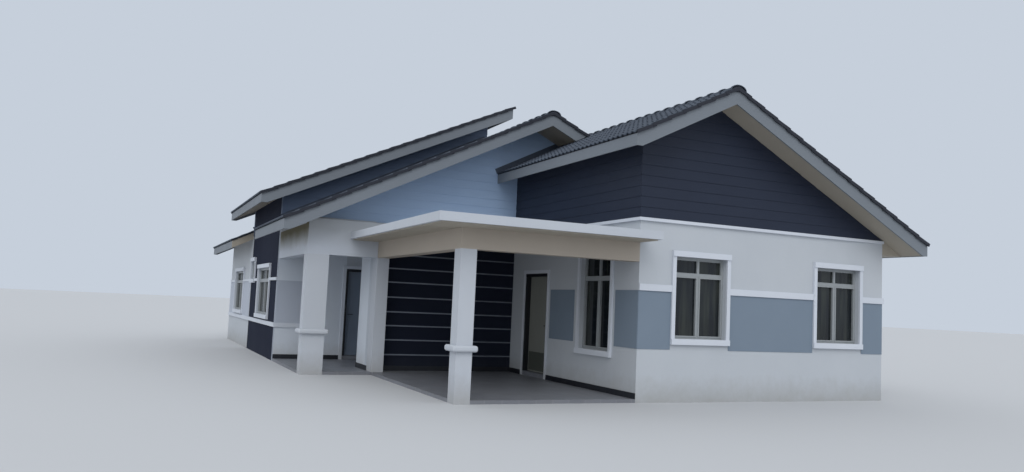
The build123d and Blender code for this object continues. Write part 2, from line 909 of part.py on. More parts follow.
with BuildPart() as window_frames:
    for plane, width, height, lights, drop, setback in windows:
        inner_width = width - 2 * frame_width
        inner_height = height - 2 * frame_width
        with BuildSketch(plane.offset(-setback)) as outer:
            Rectangle(width, height)
            Rectangle(inner_width, inner_height, mode=Mode.SUBTRACT)
        extrude(outer.sketch, amount=-frame_depth)
        if drop:
            transom_z = height / 2 - drop
            upper = inner_height / 2 - transom_z
            lower = inner_height / 2 + transom_z
            with BuildSketch(plane.offset(-setback)) as bars:
                with Locations((0, transom_z)):
                    Rectangle(inner_width, transom_width)
                with Locations((0, transom_z + upper / 2)):
                    with GridLocations(width / lights, 0, lights - 1, 1):
                        Rectangle(light_bar_width, upper)
                with Locations((0, transom_z - lower / 2)):
                    with GridLocations(width / lights, 0, lights - 1, 1):
                        Rectangle(mullion_width, lower)
            extrude(bars.sketch, amount=-bar_depth)
save(window_frames, "window_frames")

with BuildPart() as window_glass:
    for plane, width, height, lights, drop, setback in windows:
        with BuildSketch(plane.offset(-setback - bar_depth)) as pane:
            Rectangle(width - 2 * frame_width, height - 2 * frame_width)
        extrude(pane.sketch, amount=-glass_thick)
save(window_glass, "window_glass")

# Bands that stand out from the walls
window_reach = window_width / 2 + surround_width
band_stops = [side_face]
for centre in front_window_centres:
    band_stops += [centre - window_reach, centre + window_reach]
band_stops += [right_face]
mid_band_top = mid_band_low + mid_band_height
sill_band_top = sill_band_low + sill_band_height
terrace_band_end = terrace_door_start - surround_width - terrace_band_gap
left_window_reach = left_window_width / 2 + surround_width
high_window_reach = high_window_width / 2 + surround_width
left_band_stops = [
    tower_front,
    left_window_centres[0] - left_window_reach,
    left_window_centres[0] + left_window_reach,
    high_window_centre - high_window_reach,
    high_window_centre + high_window_reach,
    left_window_centres[1] - left_window_reach,
    left_window_centres[1] + left_window_reach,
    rear_face,
]

with BuildPart() as wall_bands:
    block(side_face - ledge_reach, right_face, front_face - ledge_reach, front_face,
          wall_top - ledge_height, wall_top)
    block(side_face - ledge_reach, side_face, front_face, porch_back, wall_top - ledge_height, wall_top)
    for start, end in zip(band_stops[::2], band_stops[1::2]):
        reach = band_reach if end == right_face else 0
        block(start, end + reach, front_face - band_reach, front_face, mid_band_low, mid_band_top)
    block(left_face - band_reach, terrace_band_end, tower_front - band_reach, tower_front,
          sill_band_low, sill_band_top)
    block(left_face - band_reach, left_face, tower_front, rear_face, sill_band_low, sill_band_top)
    for start, end in zip(left_band_stops[::2], left_band_stops[1::2]):
        block(left_face - band_reach, left_face, start, end, left_band_low, left_band_low + left_band_height)
save(wall_bands, "wall_bands")

# Rendered panels under the mid band, one in each space between the openings
with BuildPart() as wall_panels:
    for start, end in zip(band_stops[::2], band_stops[1::2]):
        block(start, end, front_face - panel_reach, front_face, panel_low, mid_band_low)
    block(side_face - panel_reach, side_face, front_face,
          porch_window_centre - window_reach - surround_width, panel_low, mid_band_low)
    block(side_face - panel_reach, side_face, porch_window_centre + window_reach + 2 * surround_width,
          main_door_start - 2 * surround_width, panel_low, mid_band_low)
    block(left_face, terrace_band_end, tower_front - panel_reach, tower_front, sill_band_top, left_band_low)
    block(left_face - panel_reach, left_face, tower_back, left_window_centres[1] - left_window_reach,
          sill_band_top, left_band_low)
    block(left_face - panel_reach, left_face, left_window_centres[1] + left_window_reach, rear_face,
          sill_band_top, left_band_low)
save(wall_panels, "wall_panels")

# Skirting along the foot of the porch and terrace walls
skirting_top = porch_level + skirting_height
with BuildPart() as skirting:
    block(porch_face + pier_width, side_face, porch_back - skirting_thick, porch_back,
          porch_level, skirting_top)
    block(side_face - skirting_thick, side_face, main_door_end + surround_width, porch_back,
          porch_level, skirting_top)
    block(side_face - skirting_thick, side_face, front_face, main_door_start - surround_width,
          porch_level, skirting_top)
    block(porch_face - skirting_thick, porch_face, porch_back, alcove_face, porch_level, skirting_top)
    block(left_face, terrace_door_start - surround_width, tower_front - skirting_thick, tower_front,
          porch_level, skirting_top)
save(skirting, "skirting")


# Doors: worked out from the hinge side of the opening, with u along the leaf and v into the house
class Doorway:
    """Place of one doorway in its wall, and the sizes of what hangs in it."""

    def __init__(self, x, y, u_way, v_way, width):
        self.x = x
        self.y = y
        self.u_way = u_way
        self.v_way = v_way
        self.width = width
        self.top = house_level + door_height

    def point(self, u, v):
        """World X and Y of a point."""
        return (
            self.x + u * self.u_way[0] + v * self.v_way[0],
            self.y + u * self.u_way[1] + v * self.v_way[1],
        )

    def block(self, u0, u1, v0, v1, z0, z1):
        """A squared block given by its u and v."""
        xa, ya = self.point(u0, v0)
        xb, yb = self.point(u1, v1)
        block(min(xa, xb), max(xa, xb), min(ya, yb), max(ya, yb), z0, z1)


main_doorway = Doorway(side_face, main_door_end, (0, -1), (1, 0), door_width)
terrace_doorway = Doorway(terrace_door_end, tower_front, (-1, 0), (0, 1), terrace_door_width)
frame_inner = wall - leaf_recess
leaf_outer = frame_inner - leaf_thick
pin_u = jamb_width + leaf_gap / 2
pin_v = wall
hinge_levels = (house_level + 250, house_level + door_height / 2, house_level + door_height - 300)
knuckle = hinge_length / 3


def knuckle_run(way, z0, z1):
    """One barrel of a hinge between two heights."""
    with BuildSketch(Plane.XY.offset(z0)) as ring:
        with Locations(way.point(pin_u, pin_v)):
            Circle(hinge_radius)
    extrude(ring.sketch, amount=z1 - z0)


def door_frame(way):
    """Jambs, head and stops, with the fixed barrels of the hinges."""
    inner = jamb_width + leaf_stop
    way.block(0, jamb_width, 0, frame_inner, house_level, way.top)
    way.block(way.width - jamb_width, way.width, 0, frame_inner, house_level, way.top)
    way.block(jamb_width, way.width - jamb_width, 0, frame_inner, way.top - jamb_width, way.top)
    stop_inner = leaf_outer - leaf_gap
    way.block(jamb_width, inner, leaf_stop, stop_inner, house_level, way.top - jamb_width)
    way.block(way.width - inner, way.width - jamb_width, leaf_stop, stop_inner, house_level,
              way.top - jamb_width)
    way.block(inner, way.width - inner, leaf_stop, stop_inner, way.top - inner, way.top - jamb_width)
    for level in hinge_levels:
        for side in (-1, 1):
            near = level + side * knuckle / 2
            far = level + side * hinge_length / 2
            knuckle_run(way, min(near, far), max(near, far))
            way.block(pin_u - hinge_web, pin_u, frame_inner, pin_v, min(near, far), max(near, far))


def door_leaf(way):
    """Leaf with the moving barrels of its hinges and a lever handle on both sides."""
    latch = way.width - jamb_width - leaf_gap
    way.block(jamb_width + leaf_gap, latch, leaf_outer, frame_inner, house_level + leaf_floor_gap,
              way.top - jamb_width - leaf_gap)
    for level in hinge_levels:
        low = level - knuckle / 2 + hinge_gap
        high = level + knuckle / 2 - hinge_gap
        knuckle_run(way, low, high)
        way.block(pin_u, pin_u + hinge_web, frame_inner, pin_v, low, high)
    spindle = latch - handle_inset
    z0 = house_level + handle_height - handle_radius
    z1 = house_level + handle_height + handle_radius
    outer_end = leaf_outer - handle_reach
    inner_end = frame_inner + handle_reach
    way.block(spindle - handle_radius, spindle + handle_radius, outer_end, inner_end, z0, z1)
    for near, far in ((outer_end, outer_end + 2 * handle_radius), (inner_end - 2 * handle_radius, inner_end)):
        way.block(spindle - handle_length, spindle, near, far, z0, z1)


with BuildPart() as main_door_frame:
    door_frame(main_doorway)
save(main_door_frame, "main_door_frame")

with BuildPart() as main_door:
    door_leaf(main_doorway)
save(main_door, "main_door")

with BuildPart() as terrace_door_frame:
    door_frame(terrace_doorway)
save(terrace_door_frame, "terrace_door_frame")

with BuildPart() as terrace_door:
    door_leaf(terrace_doorway)
save(terrace_door, "terrace_door")
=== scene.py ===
"""Looks for a single-storey bungalow: rendered walls, boarded gables and three tiled roofs."""

from math import ceil, cos, pi, radians, sin

import bmesh
import bpy
from mathutils import Matrix, Vector


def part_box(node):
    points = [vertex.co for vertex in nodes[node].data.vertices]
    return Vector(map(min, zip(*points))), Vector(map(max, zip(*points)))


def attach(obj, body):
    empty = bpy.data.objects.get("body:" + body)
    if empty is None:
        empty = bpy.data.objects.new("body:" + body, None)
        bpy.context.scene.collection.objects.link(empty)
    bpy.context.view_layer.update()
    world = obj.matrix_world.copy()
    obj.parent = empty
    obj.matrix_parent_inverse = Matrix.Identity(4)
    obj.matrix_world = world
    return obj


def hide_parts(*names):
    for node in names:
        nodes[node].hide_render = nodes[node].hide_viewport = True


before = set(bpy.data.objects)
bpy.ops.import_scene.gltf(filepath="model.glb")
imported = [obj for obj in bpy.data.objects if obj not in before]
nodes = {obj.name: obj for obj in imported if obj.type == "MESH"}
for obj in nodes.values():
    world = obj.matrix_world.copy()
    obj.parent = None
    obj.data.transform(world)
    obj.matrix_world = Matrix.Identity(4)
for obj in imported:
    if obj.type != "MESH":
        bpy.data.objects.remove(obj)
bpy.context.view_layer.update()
bpy.context.scene.view_settings.view_transform = "Standard"


# Masonry walls, columns, beams and slabs: brick and concrete under a coat of cement render,
# rubbed with a wooden float and painted with matt emulsion. That looks flat and chalky, with
# faint clouds and sand grain, and rain splash greys the foot.
def linear(hex_colour):
    """Linear RGBA of an sRGB hex colour."""
    values = []
    for start in (1, 3, 5):
        level = int(hex_colour[start:start + 2], 16) / 255
        values.append(level / 12.92 if level <= 0.04045 else ((level + 0.055) / 1.055) ** 2.4)
    return (*values, 1.0)


def add_node(tree, kind, links=(), **settings):
    """A shader node with its settings; links pairs each input with a value or a socket."""
    new = tree.nodes.new(kind)
    for name, value in settings.items():
        setattr(new, name, value)
    for key, value in links:
        if isinstance(value, bpy.types.NodeSocket):
            tree.links.new(value, new.inputs[key])
        else:
            new.inputs[key].default_value = value
    return new


def start_finish(name, metallic=0.0, specular=0.5):
    """A new material; returns it with its tree, its shader and the place on the piece."""
    finish = bpy.data.materials.new(name)
    finish.use_nodes = True
    tree = finish.node_tree
    shader = tree.nodes["Principled BSDF"]
    shader.inputs["Metallic"].default_value = metallic
    shader.inputs["Specular IOR Level"].default_value = specular
    place = add_node(tree, "ShaderNodeTexCoord").outputs["Object"]
    return finish, tree, shader, place


def per_metre(millimetres):
    """The noise scale that gives patches of this size."""
    return 1000 / millimetres


def wear(tree, shader, noise, smooth, rough, depth=0.0):
    """Let one noise vary a finish's roughness and, where a depth is given, raise its surface."""
    shine = add_node(tree, "ShaderNodeMapRange", [("Value", noise), ("To Min", smooth), ("To Max", rough)])
    tree.links.new(shine.outputs[0], shader.inputs["Roughness"])
    if depth:
        raised = add_node(tree, "ShaderNodeBump", [("Height", noise), ("Distance", depth)])
        tree.links.new(raised.outputs[0], shader.inputs["Normal"])


def render_paint(name, colour, cloud, splash, grain_height=0.0012, specular=0.3):
    """Matt emulsion on floated render: faint clouds, sand grain and splash marks at the foot."""
    paint, tree, shader, place = start_finish(name, specular=specular)
    clouds = add_node(tree, "ShaderNodeTexNoise",
                      [("Vector", place), ("Scale", per_metre(1110)), ("Detail", 5.0), ("Roughness", 0.62)])
    coat_colour = add_node(tree, "ShaderNodeMix",
                           [(0, clouds.outputs["Fac"]), (6, linear(colour)), (7, linear(cloud))],
                           data_type="RGBA")
    wear(tree, shader, clouds.outputs["Fac"], 0.74, 0.9)
    # The splash fades out about half a metre up, along a ragged edge of 220 mm tongues.
    height = add_node(tree, "ShaderNodeSeparateXYZ", [("Vector", place)])
    edge = add_node(tree, "ShaderNodeTexNoise",
                    [("Vector", place), ("Scale", per_metre(222)), ("Detail", 6.0), ("Roughness", 0.7)])
    level = add_node(tree, "ShaderNodeMath",
                     [(0, edge.outputs["Fac"]), (1, -0.5), (2, height.outputs["Z"])],
                     operation="MULTIPLY_ADD")
    wet = add_node(tree, "ShaderNodeMapRange",
                   [("Value", level.outputs[0]), ("From Min", -0.3), ("From Max", 0.22),
                    ("To Min", 0.55), ("To Max", 0.0)])
    marked = add_node(tree, "ShaderNodeMix",
                      [(0, wet.outputs[0]), (6, coat_colour.outputs[2]), (7, linear(splash))],
                      data_type="RGBA")
    tree.links.new(marked.outputs[2], shader.inputs["Base Color"])
    # Sand grain is about 1 mm; it is drawn at 9 mm, with the float's 150 mm sweeps, so that it shows.
    grain = add_node(tree, "ShaderNodeTexNoise",
                     [("Vector", place), ("Scale", per_metre(9)), ("Detail", 3.0), ("Roughness", 0.6)])
    sweep = add_node(tree, "ShaderNodeTexNoise",
                     [("Vector", place), ("Scale", per_metre(154)), ("Detail", 2.0), ("Distortion", 1.2)])
    relief = add_node(tree, "ShaderNodeMath",
                      [(0, sweep.outputs["Fac"]), (1, 1.6), (2, grain.outputs["Fac"])],
                      operation="MULTIPLY_ADD")
    bump = add_node(tree, "ShaderNodeBump",
                    [("Height", relief.outputs[0]), ("Distance", grain_height), ("Strength", 0.8)])
    tree.links.new(bump.outputs[0], shader.inputs["Normal"])
    return paint


def coat(finish, *names):
    """Give CAD nodes a finish in place of their plain one."""
    for name in names:
        nodes[name].material_slots[0].material = finish


def repaint(finish, axis, side, limit, colour):
    """Change a finish's colour where the place on an axis is LESS_THAN or GREATER_THAN a limit."""
    tree = finish.node_tree
    base = tree.nodes["Principled BSDF"].inputs["Base Color"]
    spot = add_node(tree, "ShaderNodeTexCoord").outputs["Object"]
    apart = add_node(tree, "ShaderNodeSeparateXYZ", [("Vector", spot)])
    beyond = add_node(tree, "ShaderNodeMath", [(0, apart.outputs[axis]), (1, limit)], operation=side)
    both = add_node(tree, "ShaderNodeMix",
                    [(0, beyond.outputs[0]), (6, base.links[0].from_socket), (7, linear(colour))],
                    data_type="RGBA")
    tree.links.new(both.outputs[2], base)


# A face that has a colour of its own keeps it this far into the wall.
coat_depth = 0.003
wall_white = render_paint("white_wall_emulsion", "#bfc3c8", "#b4b9bf", "#928f88")
coat(wall_white, "wing_front_wall", "porch_side_wall", "door_lintels", "rear_left_wall", "rear_wall",
     "right_wall")
frame_white = render_paint("white_concrete_emulsion", "#c1c5cb", "#b6bbc3", "#96928b", 0.0009)
coat(frame_white, "porch_column", "terrace_column", "porch_pier", "canopy_slab", "terrace_slab")
# The porch beams carry painted shade: a darker, warmer white for the canopy's shade,
# which looks cream beside the walls.
beam_painted_shade = render_paint("beam_emulsion_painted_warm_shade", "#b2a89c", "#a69d92", "#989288", 0.0009)
coat(beam_painted_shade, "porch_beams")

# Terrace walls: the same render, painted a shade brighter than the walls as painted light against
# the terrace's shade. The short end of the back wall, on the open side of the house, is painted darker:
# painted shade.
terrace_white_painted_light = render_paint("terrace_emulsion_painted_light", "#d5dbe3", "#cbd1d9", "#a39f98")
# Painted shade: the end face is a darker grey than the rest of the wall.
repaint(terrace_white_painted_light, "X", "LESS_THAN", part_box("terrace_back_wall")[0].x + coat_depth, "#989ea9")
coat(terrace_white_painted_light, "terrace_inner_wall", "terrace_back_wall")

# Terrace beam: concrete in the same cool white as its column, with painted shade below the eave:
# an olive-tinted darkening down to a ragged edge, most of all on its left face.
shade_foot = 2.62
shade_full = 3.0
terrace_beam_painted_shade = render_paint("terrace_beam_emulsion_painted_shade", "#c4c9d1", "#b9bfc9", "#98948d", 0.0009)
tree = terrace_beam_painted_shade.node_tree
beam_colour = tree.nodes["Principled BSDF"].inputs["Base Color"]
spot = add_node(tree, "ShaderNodeTexCoord").outputs["Object"]
apart = add_node(tree, "ShaderNodeSeparateXYZ", [("Vector", spot)])
left_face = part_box("terrace_beams")[0].x
left_share = add_node(tree, "ShaderNodeMapRange",
                      [("Value", apart.outputs["X"]), ("From Min", left_face + 0.01),
                       ("From Max", left_face + 0.002), ("To Min", 0.3), ("To Max", 1.0)])
shade_edge = add_node(tree, "ShaderNodeTexNoise",
                     [("Vector", spot), ("Scale", per_metre(333)), ("Detail", 6.0)])
shade_level = add_node(tree, "ShaderNodeMath",
                      [(0, shade_edge.outputs["Fac"]), (1, 0.16), (2, apart.outputs["Z"])],
                      operation="MULTIPLY_ADD")
beam_shade_amount = add_node(tree, "ShaderNodeMapRange",
                [("Value", shade_level.outputs[0]), ("From Min", shade_foot), ("From Max", shade_full),
                 ("To Min", 0.0), ("To Max", 0.92)])
shade_share = add_node(tree, "ShaderNodeMath", [(0, beam_shade_amount.outputs[0]), (1, left_share.outputs[0])],
                       operation="MULTIPLY")
# Painted shade from the eave, mixed over the white paint.
shaded_beam_colour = add_node(tree, "ShaderNodeMix",
                   [(0, shade_share.outputs[0]), (6, beam_colour.links[0].from_socket),
                    (7, linear("#645e40"))], data_type="RGBA")
tree.links.new(shaded_beam_colour.outputs[2], beam_colour)
coat(terrace_beam_painted_shade, "terrace_beams")

# Run mouldings: ledges, sill bands and window surrounds, worked in finer mortar with a template
# and painted a shade brighter than the walls. Their grain is finer, so their edges look crisp.
moulding_white = render_paint("white_moulding_emulsion", "#d3d7de", "#c6cbd4", "#a19d96", 0.0005)
coat(moulding_white, "wall_bands", "window_surrounds")

# Left wall of the tall middle room: the same render in deep navy emulsion, matt and almost
# black in shade. Its reveals and its inner side stay white.
inner_white = "#b9bfc7"
navy_paint = render_paint("navy_wall_emulsion", "#1a2136", "#161c2e", "#2a2f3e", specular=0.14)
repaint(navy_paint, "X", "GREATER_THAN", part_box("tower_left_wall")[0].x + coat_depth, inner_white)
coat(navy_paint, "tower_left_wall")

# Dado panels under the mid band: a second render coat, 8 mm proud, in blue-grey emulsion, as
# matt as the walls. Round the terrace and on the left they are their own pale lavender grey,
# made lighter there as painted light against the terrace's shade.
terrace_side = -2.0
panel_paint = render_paint("blue_grey_panel_emulsion", "#7d8a98", "#73808e", "#6f6d69", 0.0006)
# Painted light: the terrace and left panels are lightened against the terrace's shade.
repaint(panel_paint, "X", "LESS_THAN", terrace_side, "#b4bac5")
coat(panel_paint, "wall_panels")

# Back wall of the porch: near-black navy render, white above the canopy, with eight pale
# aluminium strips: flat extruded bars, 28 mm high, with rounded edges, pinned level across it.
porch_navy = render_paint("porch_navy_emulsion", "#1d2333", "#181d2b", "#343740", 0.0008, specular=0.2)
repaint(porch_navy, "Y", "GREATER_THAN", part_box("porch_back_wall")[0].y + coat_depth, inner_white)
repaint(porch_navy, "Z", "GREATER_THAN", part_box("canopy_slab")[1].z + coat_depth, inner_white)
coat(porch_navy, "porch_back_wall")

strip_levels = (0.395, 0.705, 1.005, 1.297, 1.607, 1.925, 2.217, 2.51)
strip_height = 0.028
strip_reach = 0.006


def fix_place():
    """Move the active piece's place, turn and size into its mesh."""
    bpy.ops.object.transform_apply(location=True, rotation=True, scale=True)


def add_block(name, low, high):
    """A squared bar between two corners, selected and active."""
    bpy.ops.object.select_all(action="DESELECT")
    middle = [(a + b) / 2 for a, b in zip(low, high)]
    bpy.ops.mesh.primitive_cube_add(size=1, location=middle)
    bar = bpy.context.object
    bar.name = name
    bar.scale = [b - a for a, b in zip(low, high)]
    fix_place()
    return bar


def choose(piece):
    """Select one piece alone and make it active."""
    bpy.ops.object.select_all(action="DESELECT")
    piece.select_set(True)
    bpy.context.view_layer.objects.active = piece


def apply_modifier(piece, kind, **settings):
    """Add a modifier with its settings and apply it."""
    choose(piece)
    change = piece.modifiers.new(kind.lower(), kind)
    for name, value in settings.items():
        setattr(change, name, value)
    bpy.ops.object.modifier_apply(modifier=change.name)


def join_pieces(name, pieces):
    """Join finished shapes into one mesh."""
    choose(pieces[0])
    for piece in pieces[1:]:
        piece.select_set(True)
    if len(pieces) > 1:
        bpy.ops.object.join()
    whole = bpy.context.object
    whole.name = name
    whole.data.name = name
    return whole


def dress(piece, finish, body="house"):
    """Put a finish on a piece and let it ride on a body."""
    piece.data.materials.clear()
    piece.data.materials.append(finish)
    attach(piece, body)


def mottled(name, colours, patch, detail, shine, depth, stretch=(1, 1, 1), metallic=0.0, specular=0.5):
    """A finish whose shades, roughness and relief follow one noise with patches in millimetres."""
    finish, tree, shader, place = start_finish(name, metallic, specular)
    along = add_node(tree, "ShaderNodeMapping", [("Vector", place), ("Scale", stretch)])
    noise = add_node(tree, "ShaderNodeTexNoise",
                     [("Vector", along.outputs[0]), ("Scale", per_metre(patch)), ("Detail", detail)])
    shades = add_node(tree, "ShaderNodeMix",
                      [(0, noise.outputs["Fac"]), (6, linear(colours[0])), (7, linear(colours[1]))],
                      data_type="RGBA")
    tree.links.new(shades.outputs[2], shader.inputs["Base Color"])
    wear(tree, shader, noise.outputs["Fac"], *shine, depth)
    return finish


wall_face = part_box("porch_back_wall")[0].y
strip_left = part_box("porch_pier")[1].x
strip_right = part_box("porch_side_wall")[0].x
strips = []
for level in strip_levels:
    strips.append(add_block("strip", (strip_left, wall_face - strip_reach, level - strip_height / 2),
                            (strip_right, wall_face, level + strip_height / 2)))
porch_strips = join_pieces("porch_wall_strips", strips)
apply_modifier(porch_strips, "BEVEL", width=0.0025, segments=2)
# Anodising leaves the bars satin, with faint lines drawn along them by the die. The lines are a
# tenth of a millimetre high; they are drawn at 6 mm, and 280 mm long, so that they show.
strip_metal = mottled("satin_anodised_strip", ("#8b919b", "#6f757f"), 333, 4.0, (0.32, 0.55), 0.0004,
                      stretch=(1.2, 40.0, 60.0), metallic=0.6)
dress(porch_strips, strip_metal)

# Porch and terrace floors: 300 mm charcoal homogeneous tiles with a 4 mm grey joint, and a
# darker skirting of the same make. They run on over the thresholds into the rooms, and look
# dull and speckled, with paler dust in patches and the joints a little lower.
tile_pitch = 0.3
tile_joint = 0.004


def tile_finish(name, colour, other, joint, dust_colour):
    """Pressed tiles with a straight joint, speckled, dusty in patches."""
    finish, tree, shader, place = start_finish(name)
    grid = add_node(tree, "ShaderNodeTexBrick",
                    [("Vector", place), ("Scale", 1.0), ("Brick Width", tile_pitch),
                     ("Row Height", tile_pitch), ("Mortar Size", tile_joint), ("Mortar Smooth", 0.2),
                     ("Bias", 0.0), ("Color1", linear(colour)), ("Color2", linear(other)),
                     ("Mortar", linear(joint))], offset=0.0, squash=1.0)
    # Specks are about 2 mm; they are drawn at 17 mm so that they show.
    speck = add_node(tree, "ShaderNodeTexNoise",
                     [("Vector", place), ("Scale", per_metre(17)), ("Detail", 6.0)])
    dust = add_node(tree, "ShaderNodeTexNoise",
                    [("Vector", place), ("Scale", per_metre(625)), ("Detail", 6.0)])
    dusted = add_node(tree, "ShaderNodeMath", [(0, speck.outputs["Fac"]), (1, dust.outputs["Fac"])],
                      operation="MULTIPLY")
    tile_colour = add_node(tree, "ShaderNodeMix",
                           [(0, dusted.outputs[0]), (6, grid.outputs["Color"]), (7, linear(dust_colour))],
                           data_type="RGBA")
    tree.links.new(tile_colour.outputs[2], shader.inputs["Base Color"])
    wear(tree, shader, dust.outputs["Fac"], 0.28, 0.6)
    sunk = add_node(tree, "ShaderNodeBump",
                    [("Height", grid.outputs["Fac"]), ("Distance", 0.002), ("Strength", 0.6)], invert=True)
    tree.links.new(sunk.outputs[0], shader.inputs["Normal"])
    return finish


floor_tile = tile_finish("charcoal_floor_tile", "#767982", "#6c6f78", "#8f9092", "#82817f")
coat(floor_tile, "porch_floors", "house_floor")
skirting_tile = tile_finish("dark_skirting_tile", "#161921", "#12151c", "#282a31", "#24262d")
coat(skirting_tile, "skirting")


# Gable and tower walls above the masonry: fibre-cement planks, 205 mm high and lapped to show
# 185 mm, nailed over each other from the bottom up and cut under the roof's soffits. Satin
# paint lets their pressed wood grain show as long faint lines, and sun has chalked it in clouds.
def board_paint(name, colour, cloud, grain_colour):
    """Satin paint on wood-grained planks: clouds of chalk and long faint grain."""
    paint, tree, shader, place = start_finish(name, specular=0.35)
    # Grain lines are 2 mm apart and 300 mm long; they are drawn 12 mm apart so that they show.
    stretch = add_node(tree, "ShaderNodeMapping", [("Vector", place), ("Scale", (1.0, 1.0, 26.0))])
    grain = add_node(tree, "ShaderNodeTexNoise",
                     [("Vector", stretch.outputs[0]), ("Scale", per_metre(312.5)), ("Detail", 7.0),
                      ("Roughness", 0.65)])
    clouds = add_node(tree, "ShaderNodeTexNoise",
                      [("Vector", place), ("Scale", per_metre(1430)), ("Detail", 4.0)])
    base = add_node(tree, "ShaderNodeMix",
                    [(0, clouds.outputs["Fac"]), (6, linear(colour)), (7, linear(cloud))], data_type="RGBA")
    line = add_node(tree, "ShaderNodeMapRange",
                    [("Value", grain.outputs["Fac"]), ("From Min", 0.5), ("From Max", 0.75),
                     ("To Min", 0.0), ("To Max", 0.35)])
    grained = add_node(tree, "ShaderNodeMix",
                       [(0, line.outputs[0]), (6, base.outputs[2]), (7, linear(grain_colour))],
                       data_type="RGBA")
    tree.links.new(grained.outputs[2], shader.inputs["Base Color"])
    wear(tree, shader, clouds.outputs["Fac"], 0.46, 0.64)
    bump = add_node(tree, "ShaderNodeBump",
                    [("Height", grain.outputs["Fac"]), ("Distance", 0.0015), ("Strength", 0.7)])
    tree.links.new(bump.outputs[0], shader.inputs["Normal"])
    return paint


board_show = 0.185
board_lap = 0.02
board_foot = 0.017
board_head = 0.006
soffit_depth = 0.27
tile_depth = 0.07


def pick(piece, test):
    """In edit mode, select only the vertices that pass a test."""
    bpy.ops.mesh.select_mode(type="VERT")
    bpy.ops.mesh.select_all(action="DESELECT")
    shape = bmesh.from_edit_mesh(piece.data)
    for vert in shape.verts:
        if test(vert):
            vert.select_set(True)
    shape.select_flush_mode()
    bmesh.update_edit_mesh(piece.data)


def shift_picked(piece, test, step):
    """In edit mode, move the vertices that pass a test."""
    pick(piece, test)
    bpy.ops.transform.translate(value=step)


def cut_away(piece, point, outward):
    """Saw a closed piece along a plane and throw away what lies on its outward side."""
    choose(piece)
    bpy.ops.object.mode_set(mode="EDIT")
    bpy.ops.mesh.select_all(action="SELECT")
    bpy.ops.mesh.bisect(plane_co=point, plane_no=outward, use_fill=True, clear_outer=True)
    bpy.ops.object.mode_set(mode="OBJECT")


def repeat(piece, count, step):
    """Copy a shape a number of times, each copy one step on."""
    apply_modifier(piece, "ARRAY", count=count, use_relative_offset=False, use_constant_offset=True,
                   constant_offset_displace=step)


def settle(piece, place):
    """Carry a piece to its place and leave its object at the origin."""
    choose(piece)
    piece.matrix_world = place
    fix_place()


def lap_boards(name, side, place, start, end, low, high):
    """Planks lapped from low to high up the wall face at place, on the named side of the house."""
    plank = add_block(name, (start, -board_foot, low), (end, 0, low + board_show + board_lap))
    bpy.ops.object.mode_set(mode="EDIT")
    shift_picked(plank, lambda v: v.co.y < -board_foot / 2 and v.co.z > low + board_show / 2,
                 (0, board_foot - board_head, 0))
    bpy.ops.object.mode_set(mode="OBJECT")
    repeat(plank, ceil((high - low) / board_show), (0, 0, board_show))
    turn = {"front": 0, "left": -pi / 2, "back": pi, "right": pi / 2}[side]
    shift = (0, place, 0) if side in ("front", "back") else (place, 0, 0)
    settle(plank, Matrix.Translation(shift) @ Matrix.Rotation(turn, 4, "Z"))
    return plank


def slope_ends(node, ridge_side):
    """A tiled slope's eave and ridge, each as the x and z of the tiles' upper face."""
    low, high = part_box(node)
    if ridge_side == "right":
        return (low.x, low.z + tile_depth), (high.x, high.z)
    return (high.x, low.z + tile_depth), (low.x, high.z)


def slope_plane(eave, ridge):
    """A point on the ridge of a slope's upper face, and the way out of that face."""
    rise = (ridge[1] - eave[1]) / (ridge[0] - eave[0])
    return Vector((ridge[0], 0, ridge[1])), Vector((-rise, 0, 1)).normalized()


def saw_below(boards, slope):
    """Cut boards off under a slope's soffit."""
    top, outward = slope_plane(*slope)
    cut_away(boards, top - Vector((0, 0, soffit_depth)), outward)


def saw_above(boards, slope):
    """Cut boards off where they meet a slope's tiles, and keep what stands over them."""
    top, outward = slope_plane(*slope)
    cut_away(boards, top, -outward)


wing_left = slope_ends("wing_left_tiles", "right")
wing_right = slope_ends("wing_right_tiles", "left")
main_left = slope_ends("main_left_tiles", "right")
main_right = slope_ends("main_right_tiles", "left")
tower_slope = slope_ends("tower_tiles", "right")
wall_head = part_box("wing_front_wall")[1].z
wing_low, wing_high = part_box("wing_gable")
main_low, main_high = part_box("main_gable")

# Near-black slate boards on the wing, over its front and over its open left side.
wing_front_boards = lap_boards("wing_front_boards", "front", wing_low.y, wing_low.x - board_foot,
                               wing_high.x, wall_head, wing_high.z)
saw_below(wing_front_boards, wing_left)
saw_below(wing_front_boards, wing_right)
wing_side_boards = lap_boards("wing_side_boards", "left", wing_low.x, -main_low.y, -wing_low.y,
                              wall_head, wing_high.z)
saw_below(wing_side_boards, wing_left)
dark_boards = join_pieces("dark_gable_boards", [wing_front_boards, wing_side_boards])
dark_paint = board_paint("dark_slate_board_paint", "#242c3f", "#1f2738", "#191f2d")
dress(dark_boards, dark_paint)
coat(dark_paint, "wing_gable", "wing_side_gable")

# Pale slate-blue boards on the main roof's front and rear gables.
main_boards = lap_boards("main_boards", "front", main_low.y, main_low.x, main_high.x,
                         wall_head, main_high.z)
rear_low, rear_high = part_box("rear_gable")
rear_boards = lap_boards("rear_boards", "back", rear_high.y, -rear_high.x, -rear_low.x,
                         wall_head, rear_high.z)
for boards in (main_boards, rear_boards):
    saw_below(boards, main_left)
    saw_below(boards, main_right)
blue_boards = join_pieces("blue_gable_boards", [main_boards, rear_boards])
blue_paint = board_paint("slate_blue_board_paint", "#a4bbd8", "#9ab1cf", "#869ebf")
dress(blue_boards, blue_paint)
coat(blue_paint, "main_gable", "rear_gable")

